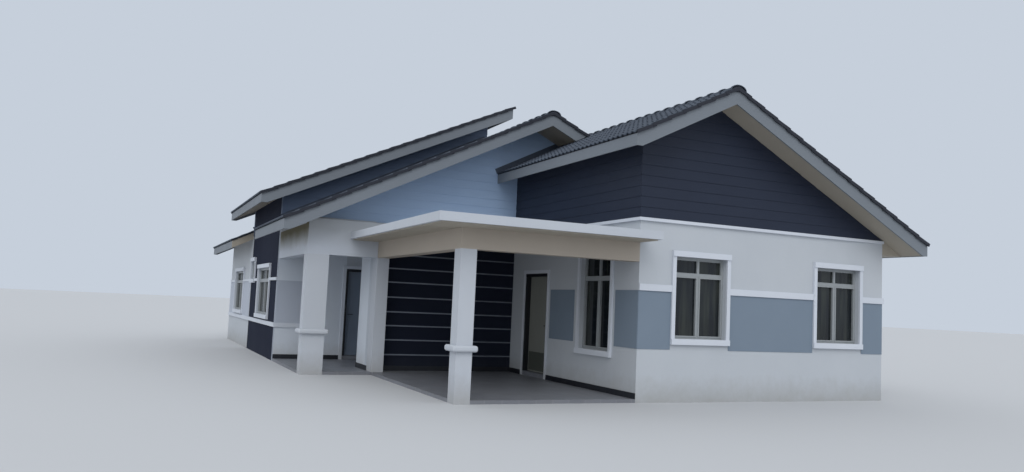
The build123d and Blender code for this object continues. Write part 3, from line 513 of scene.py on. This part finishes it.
# Deep slate boards on the raised walls, cut to their own soffit above and to the main tiles below.
tower_low, tower_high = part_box("tower_front_wall")
tower_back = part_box("tower_back_wall")[1].y
side_low, side_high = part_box("tower_side_wall")
tower_front_boards = lap_boards("tower_front_boards", "front", tower_low.y, tower_low.x, tower_high.x,
                                wall_head, tower_high.z)
tower_back_boards = lap_boards("tower_back_boards", "back", tower_back, -tower_high.x, -tower_low.x,
                               wall_head, tower_high.z)
for boards in (tower_front_boards, tower_back_boards):
    saw_below(boards, tower_slope)
    saw_above(boards, main_left)
tower_side_boards = lap_boards("tower_side_boards", "right", side_high.x, tower_low.y, tower_back,
                               side_low.z, tower_high.z)
saw_below(tower_side_boards, tower_slope)
saw_above(tower_side_boards, main_right)
tower_boards = join_pieces("tower_boards", [tower_front_boards, tower_back_boards, tower_side_boards])
tower_paint = board_paint("deep_slate_board_paint", "#63738e", "#5a6a83", "#4b5a74")
dress(tower_boards, tower_paint)
coat(tower_paint, "tower_front_wall", "tower_back_wall", "tower_side_wall")

# Roof decks: sawn rafters, battens and sheeting under the tiles, hidden but for their edges.
# Saw marks are about 3 mm wide; they are drawn at 14 mm so that the brown timber looks furry.
deck_timber = mottled("sawn_roof_timber", ("#6d5b45", "#8a7659"), 250, 6.0, (0.68, 0.82), 0.002,
                      stretch=(1.0, 18.0, 18.0))
coat(deck_timber, "wing_left_deck", "wing_right_deck", "main_left_deck", "main_right_deck", "tower_deck")

# Roof covering: interlocking concrete tiles with two rolls each, about 300 mm wide and laid
# at 330 mm. Each course rests on the heads of the one below and breaks the slope with a shadow.
# The pressed concrete is dark grey, matt and pitted, each tile a little lighter or darker.
tile_cover = 0.3
tile_gauge = 0.33
tile_overlap = 0.07
tile_thick = 0.016
tile_side_gap = 0.006
tile_segments = 12
roll_rise = 0.03
roll_profile = (1.0, 0.7, 0.15)
lap_rise = 0.022
# Heights of beds and fillets are measured from the tiles' upper face.
bed_low = -0.064
bed_high = -0.026
bed_width = 0.06
bed_inset = 0.02
eave_bed = (0.035, 0.06)
fillet_thick = 0.02
fillet_taper = 0.005
fillet_low = -0.088
fillet_high = -0.03
fillet_start = 0.004


def slope_matrix(eave, ridge, y0, y1):
    """Carries the flat laying plane (X along the eave, Y up the slope) onto a roof slope."""
    run = Vector((ridge[0] - eave[0], 0, ridge[1] - eave[1]))
    up = run.normalized()
    normal = Vector((-up.z, 0, up.x)) if up.x > 0 else Vector((up.z, 0, -up.x))
    across = up.cross(normal)
    start = y1 if across.y < 0 else y0
    turn = Matrix((across, up, normal)).transposed().to_4x4()
    return Matrix.Translation((eave[0], start, eave[1])) @ turn, run.length


def lay_tiles(name, slope, y0, y1, verges):
    """Courses of roll tiles on one slope, and the mortar under them and down their open verges."""
    place, run = slope_matrix(*slope, y0, y1)
    width = y1 - y0
    courses = round(run / tile_gauge)
    columns = round(width / tile_cover)
    gauge = run / courses
    cover = width / columns
    length = gauge + tile_overlap
    bpy.ops.object.select_all(action="DESELECT")
    bpy.ops.mesh.primitive_grid_add(x_subdivisions=tile_segments, y_subdivisions=1, size=1,
                                    location=(cover / 2, length / 2, -roll_rise - lap_rise))
    tile = bpy.context.object
    tile.name = name
    tile.scale = (cover, length, 1)
    fix_place()
    step = cover / tile_segments
    half = tile_segments // 2
    bpy.ops.object.mode_set(mode="EDIT")
    for apart, share in enumerate(roll_profile):
        shift_picked(tile, lambda v: round(v.co.x / step) % half in (apart, half - apart),
                     (0, 0, share * roll_rise))
    shift_picked(tile, lambda v: v.co.y < length / 2, (0, 0, lap_rise))
    bpy.ops.object.mode_set(mode="OBJECT")
    apply_modifier(tile, "SOLIDIFY", thickness=tile_thick, offset=-1)
    repeat(tile, columns, (cover, 0, 0))
    repeat(tile, courses, (0, gauge, 0))
    cut_away(tile, (0, run, 0), (0, 1, 0))
    cut_away(tile, (tile_side_gap, 0, 0), (-1, 0, 0))
    cut_away(tile, (width - tile_side_gap, 0, 0), (1, 0, 0))
    bpy.ops.object.shade_smooth_by_angle(angle=radians(50))
    beds = [
        add_block("bed", (bed_inset, bed_inset, bed_low), (bed_width, run, bed_high)),
        add_block("bed", (width - bed_width, bed_inset, bed_low), (width - bed_inset, run, bed_high)),
        add_block("bed", (bed_width, eave_bed[0], bed_low), (width - bed_width, eave_bed[1], bed_high)),
    ]
    flipped = place.col[0].y < 0
    for verge in verges:
        far_side = (verge == "rear") != flipped
        edge = width if far_side else 0
        inward = -1 if far_side else 1
        sides = sorted((edge, edge + inward * fillet_thick))
        fillet = add_block("fillet", (sides[0], fillet_start, fillet_low), (sides[1], length, fillet_high))
        bpy.ops.object.mode_set(mode="EDIT")
        shift_picked(fillet, lambda v: v.co.y < length / 2, (0, 0, lap_rise))
        shift_picked(fillet, lambda v: v.co.y > length / 2, (inward * fillet_taper, 0, 0))
        bpy.ops.object.mode_set(mode="OBJECT")
        repeat(fillet, courses, (0, gauge, 0))
        cut_away(fillet, (0, run, 0), (0, 1, 0))
        beds.append(fillet)
    bed = join_pieces(name + "_bed", beds)
    settle(tile, place)
    settle(bed, place)
    return tile, bed


def front_and_rear(node):
    """The y of a node's two ends."""
    low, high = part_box(node)
    return low.y, high.y


tile_paint, tree, shader, place = start_finish("dark_grey_concrete_tile", specular=0.3)
weather = add_node(tree, "ShaderNodeTexNoise",
                   [("Vector", place), ("Scale", per_metre(910)), ("Detail", 7.0)])
# Tiles differ by batch: one patch of shade is about as wide as one tile.
batch = add_node(tree, "ShaderNodeTexVoronoi", [("Vector", place), ("Scale", per_metre(345))])
batch_grey = add_node(tree, "ShaderNodeMix",
                      [(0, batch.outputs["Color"]), (6, linear("#353b45")), (7, linear("#424954"))],
                      data_type="RGBA")
roof_colour = add_node(tree, "ShaderNodeMix",
                       [(0, weather.outputs["Fac"]), (6, batch_grey.outputs[2]), (7, linear("#4f5763"))],
                       data_type="RGBA")
tree.links.new(roof_colour.outputs[2], shader.inputs["Base Color"])
# Pores are about 2 mm; they are drawn at 11 mm so that they show.
pores = add_node(tree, "ShaderNodeTexNoise", [("Vector", place), ("Scale", per_metre(11)), ("Detail", 4.0)])
wear(tree, shader, pores.outputs["Fac"], 0.6, 0.8, 0.0015)
coat(tile_paint, "wing_left_tiles", "wing_right_tiles", "main_left_tiles", "main_right_tiles",
     "tower_tiles", "ridge_tiles")

wing_eave, wing_ridge = wing_left
right_eave, main_ridge = main_right
wing_start, wing_end = front_and_rear("wing_left_tiles")
main_start, main_end = front_and_rear("main_left_tiles")
tower_start, tower_end = front_and_rear("tower_tiles")
tower_front = tower_low.y
end_reach = 0.055
wing_fall = (wing_ridge[1] - wing_eave[1]) / (wing_ridge[0] - wing_eave[0])
main_fall = (main_ridge[1] - right_eave[1]) / (right_eave[0] - main_ridge[0])
# The wing's left slope rises to the right and the main roof's right slope falls: they meet here.
wing_at_zero = wing_ridge[1] - wing_fall * wing_ridge[0]
main_at_zero = main_ridge[1] + main_fall * main_ridge[0]
meet_x = (main_at_zero - wing_at_zero) / (main_fall + wing_fall)
meet = (meet_x, main_ridge[1] - main_fall * (meet_x - main_ridge[0]))

tiled_slopes = {
    "wing_left_tiles": [("wing_left", wing_left, wing_start, wing_end, ("front",))],
    "wing_right_tiles": [("wing_right", wing_right, wing_start, wing_end, ("front",))],
    "main_left_tiles": [
        ("main_left_front", main_left, main_start, tower_front + end_reach, ("front",)),
        ("main_left_rear", main_left, tower_back - end_reach, main_end, ("rear",))],
    "main_right_tiles": [
        ("main_right_rear", main_right, wing_end, main_end, ("rear",)),
        ("main_right_front", (meet, main_ridge), main_start, wing_end, ("front",))],
    "tower_tiles": [("tower", tower_slope, tower_start, tower_end, ("front", "rear"))],
}
all_beds = []
for node, stretches in tiled_slopes.items():
    laid = []
    for stretch in stretches:
        tiles, bed = lay_tiles(*stretch)
        laid.append(tiles)
        all_beds.append(bed)
    covering = join_pieces("roll_" + node, laid)
    dress(covering, tile_paint)
    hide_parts(node)

# Bedding mortar: cement and sand, pressed under the tiles along eaves and verges, coloured dark grey
# and darkened further as painted shade along the verge edges. It looks dull and crumbly; its grit is drawn
# at 22 mm so that it shows.
mortar = mottled("bedding_mortar_painted_shade", ("#1f222b", "#2f323c"), 22, 6.0, (0.8, 0.9), 0.004)
tile_mortar = join_pieces("tile_bedding", all_beds)
dress(tile_mortar, mortar)

# Ridge caps: tapered half-round tiles of the same concrete, laid socket over tail every 335 mm
# on mortar, with a closing disc of mortar at each open end.
cap_gauge = 0.335
cap_mouth = 0.15
cap_tail = 0.134
cap_flatness = 0.62
cap_lap = 0.06
cap_thick = 0.014
cap_sink = 0.098
cap_foot = 0.03
collar_radius = 0.172
collar_full = 0.045
collar_length = 0.06
disc_inset = 0.015


def lay_caps(name, ridge, y0, y1):
    """One run of ridge caps from its front end back, with mortar and end discs."""
    count = round((y1 - y0) / cap_gauge)
    gauge = (y1 - y0) / count
    length = gauge + cap_lap
    x = ridge[0]
    z = ridge[1] - cap_sink
    bpy.ops.object.select_all(action="DESELECT")
    bpy.ops.mesh.primitive_cone_add(vertices=24, radius1=cap_tail, radius2=cap_mouth, depth=length,
                                    end_fill_type="NOTHING", rotation=(pi / 2, 0, 0),
                                    location=(x, y0 + length / 2, z))
    cap = bpy.context.object
    cap.name = name
    fix_place()
    middle = Vector((x, y0, z))
    bpy.ops.object.mode_set(mode="EDIT")
    for reach in (collar_length, collar_full):
        bpy.ops.mesh.select_all(action="SELECT")
        bpy.ops.mesh.bisect(plane_co=(0, y0 + reach, 0), plane_no=(0, 1, 0))
    pick(cap, lambda v: v.co.y < y0 + (collar_full + collar_length) / 2)
    bpy.ops.transform.resize(value=(collar_radius / cap_mouth, 1, collar_radius / cap_mouth),
                             center_override=middle)
    bpy.ops.mesh.select_all(action="SELECT")
    bpy.ops.transform.resize(value=(1, 1, cap_flatness), center_override=middle)
    bpy.ops.mesh.bisect(plane_co=(0, 0, z - cap_foot), plane_no=(0, 0, 1), clear_inner=True)
    bpy.ops.object.mode_set(mode="OBJECT")
    apply_modifier(cap, "SOLIDIFY", thickness=cap_thick, offset=-1)
    repeat(cap, count, (0, gauge, 0))
    cut_away(cap, (0, y1, 0), (0, 1, 0))
    cut_away(cap, (0, y0, 0), (0, -1, 0))
    bpy.ops.object.shade_smooth_by_angle(angle=radians(40))
    bpy.ops.object.select_all(action="DESELECT")
    bpy.ops.mesh.primitive_cylinder_add(vertices=24, radius=cap_tail - cap_thick / 2,
                                        depth=y1 - y0 - 2 * disc_inset, rotation=(pi / 2, 0, 0),
                                        location=(x, (y0 + y1) / 2, z))
    bed = bpy.context.object
    bed.name = name + "_bed"
    bed.scale = (1, cap_flatness, 1)
    fix_place()
    cut_away(bed, (0, 0, z - cap_foot / 2), (0, 0, -1))
    return cap, bed


cap_runs = []
cap_beds = []
for run in (("wing_caps", wing_ridge, wing_start, wing_end),
            ("main_front_caps", main_ridge, main_start, tower_front),
            ("main_rear_caps", main_ridge, tower_back, main_end)):
    caps, bed = lay_caps(*run)
    cap_runs.append(caps)
    cap_beds.append(bed)
ridge_caps = join_pieces("ridge_caps", cap_runs)
dress(ridge_caps, tile_paint)
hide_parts("ridge_tiles")
ridge_mortar = join_pieces("ridge_bedding", cap_beds)
dress(ridge_mortar, mortar)

# Flashings: folded aluminium strips, coated dark grey, lapped up the walls where a roof slope or
# the ridge dies against them, pinned through the boards and dressed over the tiles. Rain leaves
# their satin coat half dull, in patches a hand wide.
flash_thick = 0.004
flash_low = -0.03
flash_high = 0.085
ridge_flash = 0.07
board_face = board_foot + flash_thick


def lay_flashing(name, eave, ridge, y0):
    """One strip that stands on a slope against a wall."""
    place, run = slope_matrix(eave, ridge, y0, y0 + flash_thick)
    strip = add_block(name, (0, 0, flash_low), (flash_thick, run, flash_high))
    settle(strip, place)
    return strip


main_eave = main_left[0]
wall_share = (tower_low.x - main_eave[0]) / (main_ridge[0] - main_eave[0])
wall_foot = (tower_low.x, main_eave[1] + wall_share * (main_ridge[1] - main_eave[1]))
flashings = [
    lay_flashing("front_flashing", wall_foot, main_ridge, tower_front - board_face),
    lay_flashing("back_flashing", wall_foot, main_ridge, tower_back + board_foot),
    lay_flashing("gable_flashing", wing_eave, meet, wing_end - board_face),
    add_block("side_flashing", (side_high.x + board_foot, tower_front, main_ridge[1] - ridge_flash),
              (side_high.x + board_face, tower_back, main_ridge[1] + ridge_flash)),
]
wall_flashings = join_pieces("wall_flashings", flashings)
flash_metal = mottled("dark_coated_aluminium", ("#3b4352", "#515a6a"), 143, 6.0, (0.42, 0.66), 0.0006,
                      specular=0.4)
dress(wall_flashings, flash_metal)

# Bargeboards, eaves boards and the closing board behind the wing: planed timber in light grey
# satin paint, nailed to the rafter ends. Weather has dulled it, so that its grain just shows.
trim_paint = board_paint("light_grey_trim_paint", "#7a8087", "#71777e", "#666b72")
coat(trim_paint, "bargeboards", "eaves_boards", "roof_step_board")

# Soffits: fibre-cement sheets nailed under the rafters with open joints every 1.2 m, and the
# canopy's rendered underside, both in warm grey emulsion, matt with faint stains. The joints
# are 6 mm wide; they are drawn at 18 mm so that they show.
sheet_pitch = 1.2
joint_width = 0.018
# At a scale of 1 the wave node draws this many bands to the metre.
bands_per_metre = 20 / (2 * pi)
soffit_paint, tree, shader, place = start_finish("warm_grey_soffit_emulsion")
joints = add_node(tree, "ShaderNodeTexWave",
                  [("Vector", place), ("Scale", 1 / (bands_per_metre * sheet_pitch)), ("Distortion", 0.0)],
                  bands_direction="Y", wave_profile="SAW")
joint_line = add_node(tree, "ShaderNodeMapRange",
                      [("Value", joints.outputs["Fac"]), ("From Min", 1 - joint_width / sheet_pitch),
                       ("From Max", 1.0)])
stain = add_node(tree, "ShaderNodeTexNoise",
                 [("Vector", place), ("Scale", per_metre(770)), ("Detail", 5.0)])
sheet_colour = add_node(tree, "ShaderNodeMix",
                        [(0, stain.outputs["Fac"]), (6, linear("#aaa294")), (7, linear("#9f978a"))],
                        data_type="RGBA")
soffit_colour = add_node(tree, "ShaderNodeMix",
                         [(0, joint_line.outputs[0]), (6, sheet_colour.outputs[2]), (7, linear("#6a675f"))],
                         data_type="RGBA")
tree.links.new(soffit_colour.outputs[2], shader.inputs["Base Color"])
wear(tree, shader, stain.outputs["Fac"], 0.7, 0.9, 0.0015)
coat(soffit_paint, "eaves_soffits", "verge_soffits", "porch_ceiling")

# Window frames: white powder-coated aluminium, mitred and screwed into the reveals, given a mid grey
# that is painted shade. Every lower light carries a casement sash that stands proud, and slim beads hold
# the glass; small windows are one opening light. The coat is smooth and satin, and its 2 mm ripple is drawn
# at 33 mm.
frame_coat_painted_shade = mottled("white_powder_coat_painted_shade", ("#979b9d", "#8c9092"), 33, 3.0, (0.34, 0.5), 0.0003)
coat(frame_coat_painted_shade, "window_frames")

frame_width = 0.05
mullion_width = 0.08
transom_width = 0.08
light_bar = 0.045
glass_set = 0.04
glass_clear = 0.004
transom_drop = 0.32
porch_drop = 0.47
small_window = 0.7
tall_window = 1.6
sash_over = 0.022
sash_under = 0.004
sash_proud = 0.01
bead_width = 0.006


def glass_boxes(node):
    """The two corners of every separate pane in a node."""
    shape = bmesh.new()
    shape.from_mesh(nodes[node].data)
    bmesh.ops.remove_doubles(shape, verts=shape.verts, dist=0.0001)
    left = set(shape.verts)
    found = []
    while left:
        waiting = [left.pop()]
        points = []
        while waiting:
            vert = waiting.pop()
            points.append(vert.co.copy())
            for edge in vert.link_edges:
                other = edge.other_vert(vert)
                if other in left:
                    left.remove(other)
                    waiting.append(other)
        found.append([Vector(limit(p[axis] for p in points) for axis in range(3)) for limit in (min, max)])
    shape.free()
    return sorted(found, key=lambda pair: tuple(pair[0]))


def mitred_frame(name, centre, turn, width, height, rim, front, depth):
    """A rectangular frame of equal rims, standing out from front by its depth, edges eased."""
    bpy.ops.object.select_all(action="DESELECT")
    bpy.ops.mesh.primitive_plane_add(size=1, rotation=(pi / 2, 0, 0))
    rails = bpy.context.object
    rails.name = name
    rails.scale = (width, height, 1)
    fix_place()
    bpy.ops.object.mode_set(mode="EDIT")
    bpy.ops.mesh.select_all(action="SELECT")
    bpy.ops.mesh.inset(thickness=rim, depth=0)
    bpy.ops.mesh.delete(type="FACE")
    bpy.ops.object.mode_set(mode="OBJECT")
    apply_modifier(rails, "SOLIDIFY", thickness=depth, offset=-1)
    apply_modifier(rails, "BEVEL", width=0.002, segments=1)
    outward = Matrix.Translation((0, -front, 0))
    settle(rails, Matrix.Translation(centre) @ Matrix.Rotation(turn, 4, "Z") @ outward)
    return rails


sashes = []
for low, high in glass_boxes("window_glass"):
    centre = (low + high) / 2
    if high.x - low.x < 2 * glass_set:
        width = high.y - low.y
        on_right = centre.x > 0
        turn = pi / 2 if on_right else -pi / 2
        middle = Vector((high.x if on_right else low.x, centre.y, 0))
        sideways = Vector((0, 1 if on_right else -1, 0))
    else:
        width = high.x - low.x
        at_rear = centre.y > 0
        turn = pi if at_rear else 0
        middle = Vector((centre.x, high.y if at_rear else low.y, 0))
        sideways = Vector((-1 if at_rear else 1, 0, 0))
    if width < small_window:
        lights = [(0, centre.z, width, high.z - low.z, True)]
    else:
        drop = porch_drop if high.z - low.z > tall_window else transom_drop
        transom = high.z + frame_width - drop
        lower_head = transom - transom_width / 2
        upper_foot = transom + transom_width / 2
        pane = (width - mullion_width) / 2
        top_pane = (width - light_bar) / 2
        lights = []
        for side in (-1, 1):
            lights.append((side * (pane + mullion_width) / 2, (low.z + lower_head) / 2, pane,
                           lower_head - low.z, True))
            lights.append((side * (top_pane + light_bar) / 2, (upper_foot + high.z) / 2, top_pane,
                           high.z - upper_foot, False))
    for along, level, pane_width, pane_height, opens in lights:
        place = middle + along * sideways + Vector((0, 0, level))
        over = sash_over if opens else 0
        rim = sash_over + sash_under if opens else bead_width
        front = glass_set + sash_proud if opens else glass_set - bead_width
        sashes.append(mitred_frame("sash", place, turn, pane_width + 2 * over, pane_height + 2 * over, rim,
                                   front, front - glass_clear))
window_sashes = join_pieces("window_sashes", sashes)
# The sashes share the frames' grey, which is painted shade.
dress(window_sashes, frame_coat_painted_shade)

# Glass: 8 mm tinted panes; their dark colour is painted shade of the dark rooms behind them, half
# hidden by curtain. Tall soft bands about 150 mm wide stand both for curtain pleats and for painted
# reflection. The sheet is glossy, and ripples by a fraction of a millimetre, as rolled glass does.
glass, tree, shader, place = start_finish("glass_painted_dark_rooms", specular=0.4)
band_stretch = add_node(tree, "ShaderNodeMapping", [("Vector", place), ("Scale", (5.0, 5.0, 0.5))])
curtain_and_reflection_bands = add_node(tree, "ShaderNodeTexNoise",
                    [("Vector", band_stretch.outputs[0]), ("Scale", per_metre(770)), ("Detail", 2.0)])
band_share = add_node(tree, "ShaderNodeMapRange",
                     [("Value", curtain_and_reflection_bands.outputs["Fac"]), ("From Min", 0.42), ("From Max", 0.62)])
# Painted shade of the rooms, banded by curtain pleats and painted reflection.
glass_colour = add_node(tree, "ShaderNodeMix",
                        [(0, band_share.outputs[0]), (6, linear("#161b20")), (7, linear("#2e322f"))],
                        data_type="RGBA")
tree.links.new(glass_colour.outputs[2], shader.inputs["Base Color"])
ripple = add_node(tree, "ShaderNodeTexNoise",
                  [("Vector", place), ("Scale", per_metre(400)), ("Detail", 1.0)])
wear(tree, shader, ripple.outputs["Fac"], 0.03, 0.1, 0.0006)
coat(glass, "window_glass")

# Main door: a flush timber leaf in olive-brown stain under half-worn varnish. Kick plate and rim
# latch are screwed to its front, lock plates to both faces. Lever handles, hinge barrels and
# both door frames are black powder-coated steel.
leaf_thick = 0.04
handle_reach = 0.045
handle_inset = 0.06
lever_height = 1.0
leaf_width = 0.94
plate_half = 0.022
plate_thick = 0.004
plate_below = 0.14
plate_above = 0.06
kick_thick = 0.0015
kick_inset = 0.03
kick_low = 0.025
kick_high = 0.42
latch_inset = 0.045
latch_height = 1.38
latch_size = Vector((0.024, 0.085, 0.15))
metal_black = "#1a1c20"
metal_clear = 0.001

door_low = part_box("main_door")[0]
leaf_front = door_low.x + handle_reach
leaf_back = leaf_front + leaf_thick
latch_edge = door_low.y
hinge_edge = latch_edge + leaf_width
floor_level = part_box("house_floor")[1].z
# The upright grain shows faintly; it is 3 mm wide, and drawn at 24 mm so that it shows.
brown_door = mottled("olive_brown_stained_door", ("#7d7e78", "#8b8c85"), 333, 7.0, (0.38, 0.6), 0.0006,
                     stretch=(14.0, 14.0, 0.8))
repaint(brown_door, "X", "LESS_THAN", leaf_front - metal_clear, metal_black)
repaint(brown_door, "X", "GREATER_THAN", leaf_back + metal_clear, metal_black)
coat(brown_door, "main_door")
# The black coat is smooth and satin; its 2 mm ripple is drawn at 25 mm so that it shows.
black_coat = mottled("black_powder_coat", ("#15171b", "#1f2126"), 25, 3.0, (0.35, 0.5), 0.0003)
coat(black_coat, "main_door_frame", "terrace_door_frame")

kick_plate = add_block("kick_plate",
                       (leaf_front - kick_thick, latch_edge + kick_inset, door_low.z + kick_low),
                       (leaf_front, hinge_edge - kick_inset, door_low.z + kick_high))
apply_modifier(kick_plate, "BEVEL", width=0.0006, segments=1)
# Shoes have scuffed the steel in patches of about 50 mm, shinier and duller side by side.
kick_steel = mottled("scuffed_kick_plate", ("#50534d", "#656860"), 56, 8.0, (0.35, 0.65), 0.0004,
                     metallic=0.3)
dress(kick_plate, kick_steel, "main_door_leaf")

plate_middle = latch_edge + handle_inset
lever_level = floor_level + lever_height
lock_plates = []
for near, far in ((leaf_front - plate_thick, leaf_front), (leaf_back, leaf_back + plate_thick)):
    lock_plates.append(add_block("plate", (near, plate_middle - plate_half, lever_level - plate_below),
                                 (far, plate_middle + plate_half, lever_level + plate_above)))
latch_low = Vector((leaf_front - latch_size.x, latch_edge + latch_inset, floor_level + latch_height))
lock_plates.append(add_block("rim_latch", latch_low, latch_low + latch_size))
lock_plate = join_pieces("lock_plates", lock_plates)
apply_modifier(lock_plate, "BEVEL", width=0.0015, segments=2)
dress(lock_plate, black_coat, "main_door_leaf")

# Terrace door: a grey powder-coated aluminium leaf, satin with a faint haze. Slim raised
# mouldings, welded to both of its skins, frame two tall panels.
terrace_leaf_width = 0.79
panel_inset = 0.09
panel_width = 0.29
panel_height = 1.78
moulding_width = 0.022
moulding_front = 0.005
moulding_depth = 0.007
grey_door = mottled("grey_powder_coated_door", ("#6d7886", "#7d8897"), 590, 4.0, (0.35, 0.55), 0.0004)
moulding_coat = grey_door.copy()
moulding_coat.name = "grey_powder_coated_moulding"
grey_low, grey_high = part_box("terrace_door")
skin_front = grey_low.y + handle_reach
skin_back = skin_front + leaf_thick
last_panel = grey_low.x + terrace_leaf_width - panel_inset - panel_width
mouldings = []
for start in (grey_low.x + panel_inset, last_panel):
    for skin, turn in ((skin_front, 0), (skin_back, pi)):
        centre = Vector((start + panel_width / 2, skin, (grey_low.z + grey_high.z) / 2))
        mouldings.append(mitred_frame("moulding", centre, turn, panel_width, panel_height,
                                      moulding_width, moulding_front, moulding_depth))
door_mouldings = join_pieces("door_mouldings", mouldings)
dress(door_mouldings, moulding_coat, "terrace_door_leaf")
repaint(grey_door, "Y", "LESS_THAN", skin_front - metal_clear, metal_black)
repaint(grey_door, "Y", "GREATER_THAN", skin_back + metal_clear, metal_black)
coat(grey_door, "terrace_door")

# The camera stands on the front left, at eye height, where the photograph was taken. Its place
# and turn come from the house's own level and upright lines.
eye = Vector((-8.4755, -20.7169, 1.56))
heading = radians(24.753)
tilt = radians(4.748)
roll = radians(-2.618)
focal_pixels = 827.59
image_pixels = 1024
sensor_width = 36.0

forward = Vector((sin(heading) * cos(tilt), cos(heading) * cos(tilt), sin(tilt)))
level_right = Vector((cos(heading), -sin(heading), 0))
level_down = forward.cross(level_right)
camera_right = cos(roll) * level_right + sin(roll) * level_down
camera_up = camera_right.cross(forward)
camera_data = bpy.data.cameras.new("street_camera")
camera_data.sensor_width = sensor_width
camera_data.lens = focal_pixels * sensor_width / image_pixels
camera = bpy.data.objects.new("street_camera", camera_data)
bpy.context.scene.collection.objects.link(camera)
turn = Matrix((camera_right, camera_up, -forward)).transposed().to_4x4()
camera.matrix_world = Matrix.Translation(eye) @ turn
bpy.context.scene.camera = camera

# Soft studio light: a broad lamp high on the front left and an even pale surround, which the
# camera and glossy surfaces see as a plain backdrop.
lamp_data = bpy.data.lights.new("broad_lamp", "SUN")
lamp_data.energy = 0.85
lamp_data.angle = radians(40)
lamp = bpy.data.objects.new("broad_lamp", lamp_data)
lamp.rotation_euler = (radians(48), 0, radians(-28))
bpy.context.scene.collection.objects.link(lamp)
surround = bpy.data.worlds.new("pale_surround")
surround.use_nodes = True
tree = surround.node_tree
path = add_node(tree, "ShaderNodeLightPath")
seen = add_node(tree, "ShaderNodeMath",
                [(0, path.outputs["Is Camera Ray"]), (1, path.outputs["Is Glossy Ray"])],
                operation="MAXIMUM")
shown = add_node(tree, "ShaderNodeMix",
                 [(0, seen.outputs[0]), (6, (0.85, 0.9, 0.96, 1)), (7, linear("#c6cfdb"))], data_type="RGBA")
tree.links.new(shown.outputs[2], tree.nodes["Background"].inputs["Color"])
bpy.context.scene.world = surround

# Studio floor: one plain sheet that runs out of sight under the house. It is pale and dull, so
# that it keeps the house's soft shadow and nothing else.
bpy.ops.object.select_all(action="DESELECT")
bpy.ops.mesh.primitive_plane_add(size=400, location=(0, 0, 0))
floor = bpy.context.object
floor.name = "studio_floor"
floor_paint, _, shader, _ = start_finish("pale_studio_floor", specular=0.1)
shader.inputs["Roughness"].default_value = 0.9
shader.inputs["Base Color"].default_value = linear("#bfc0c2")
floor.data.materials.append(floor_paint)
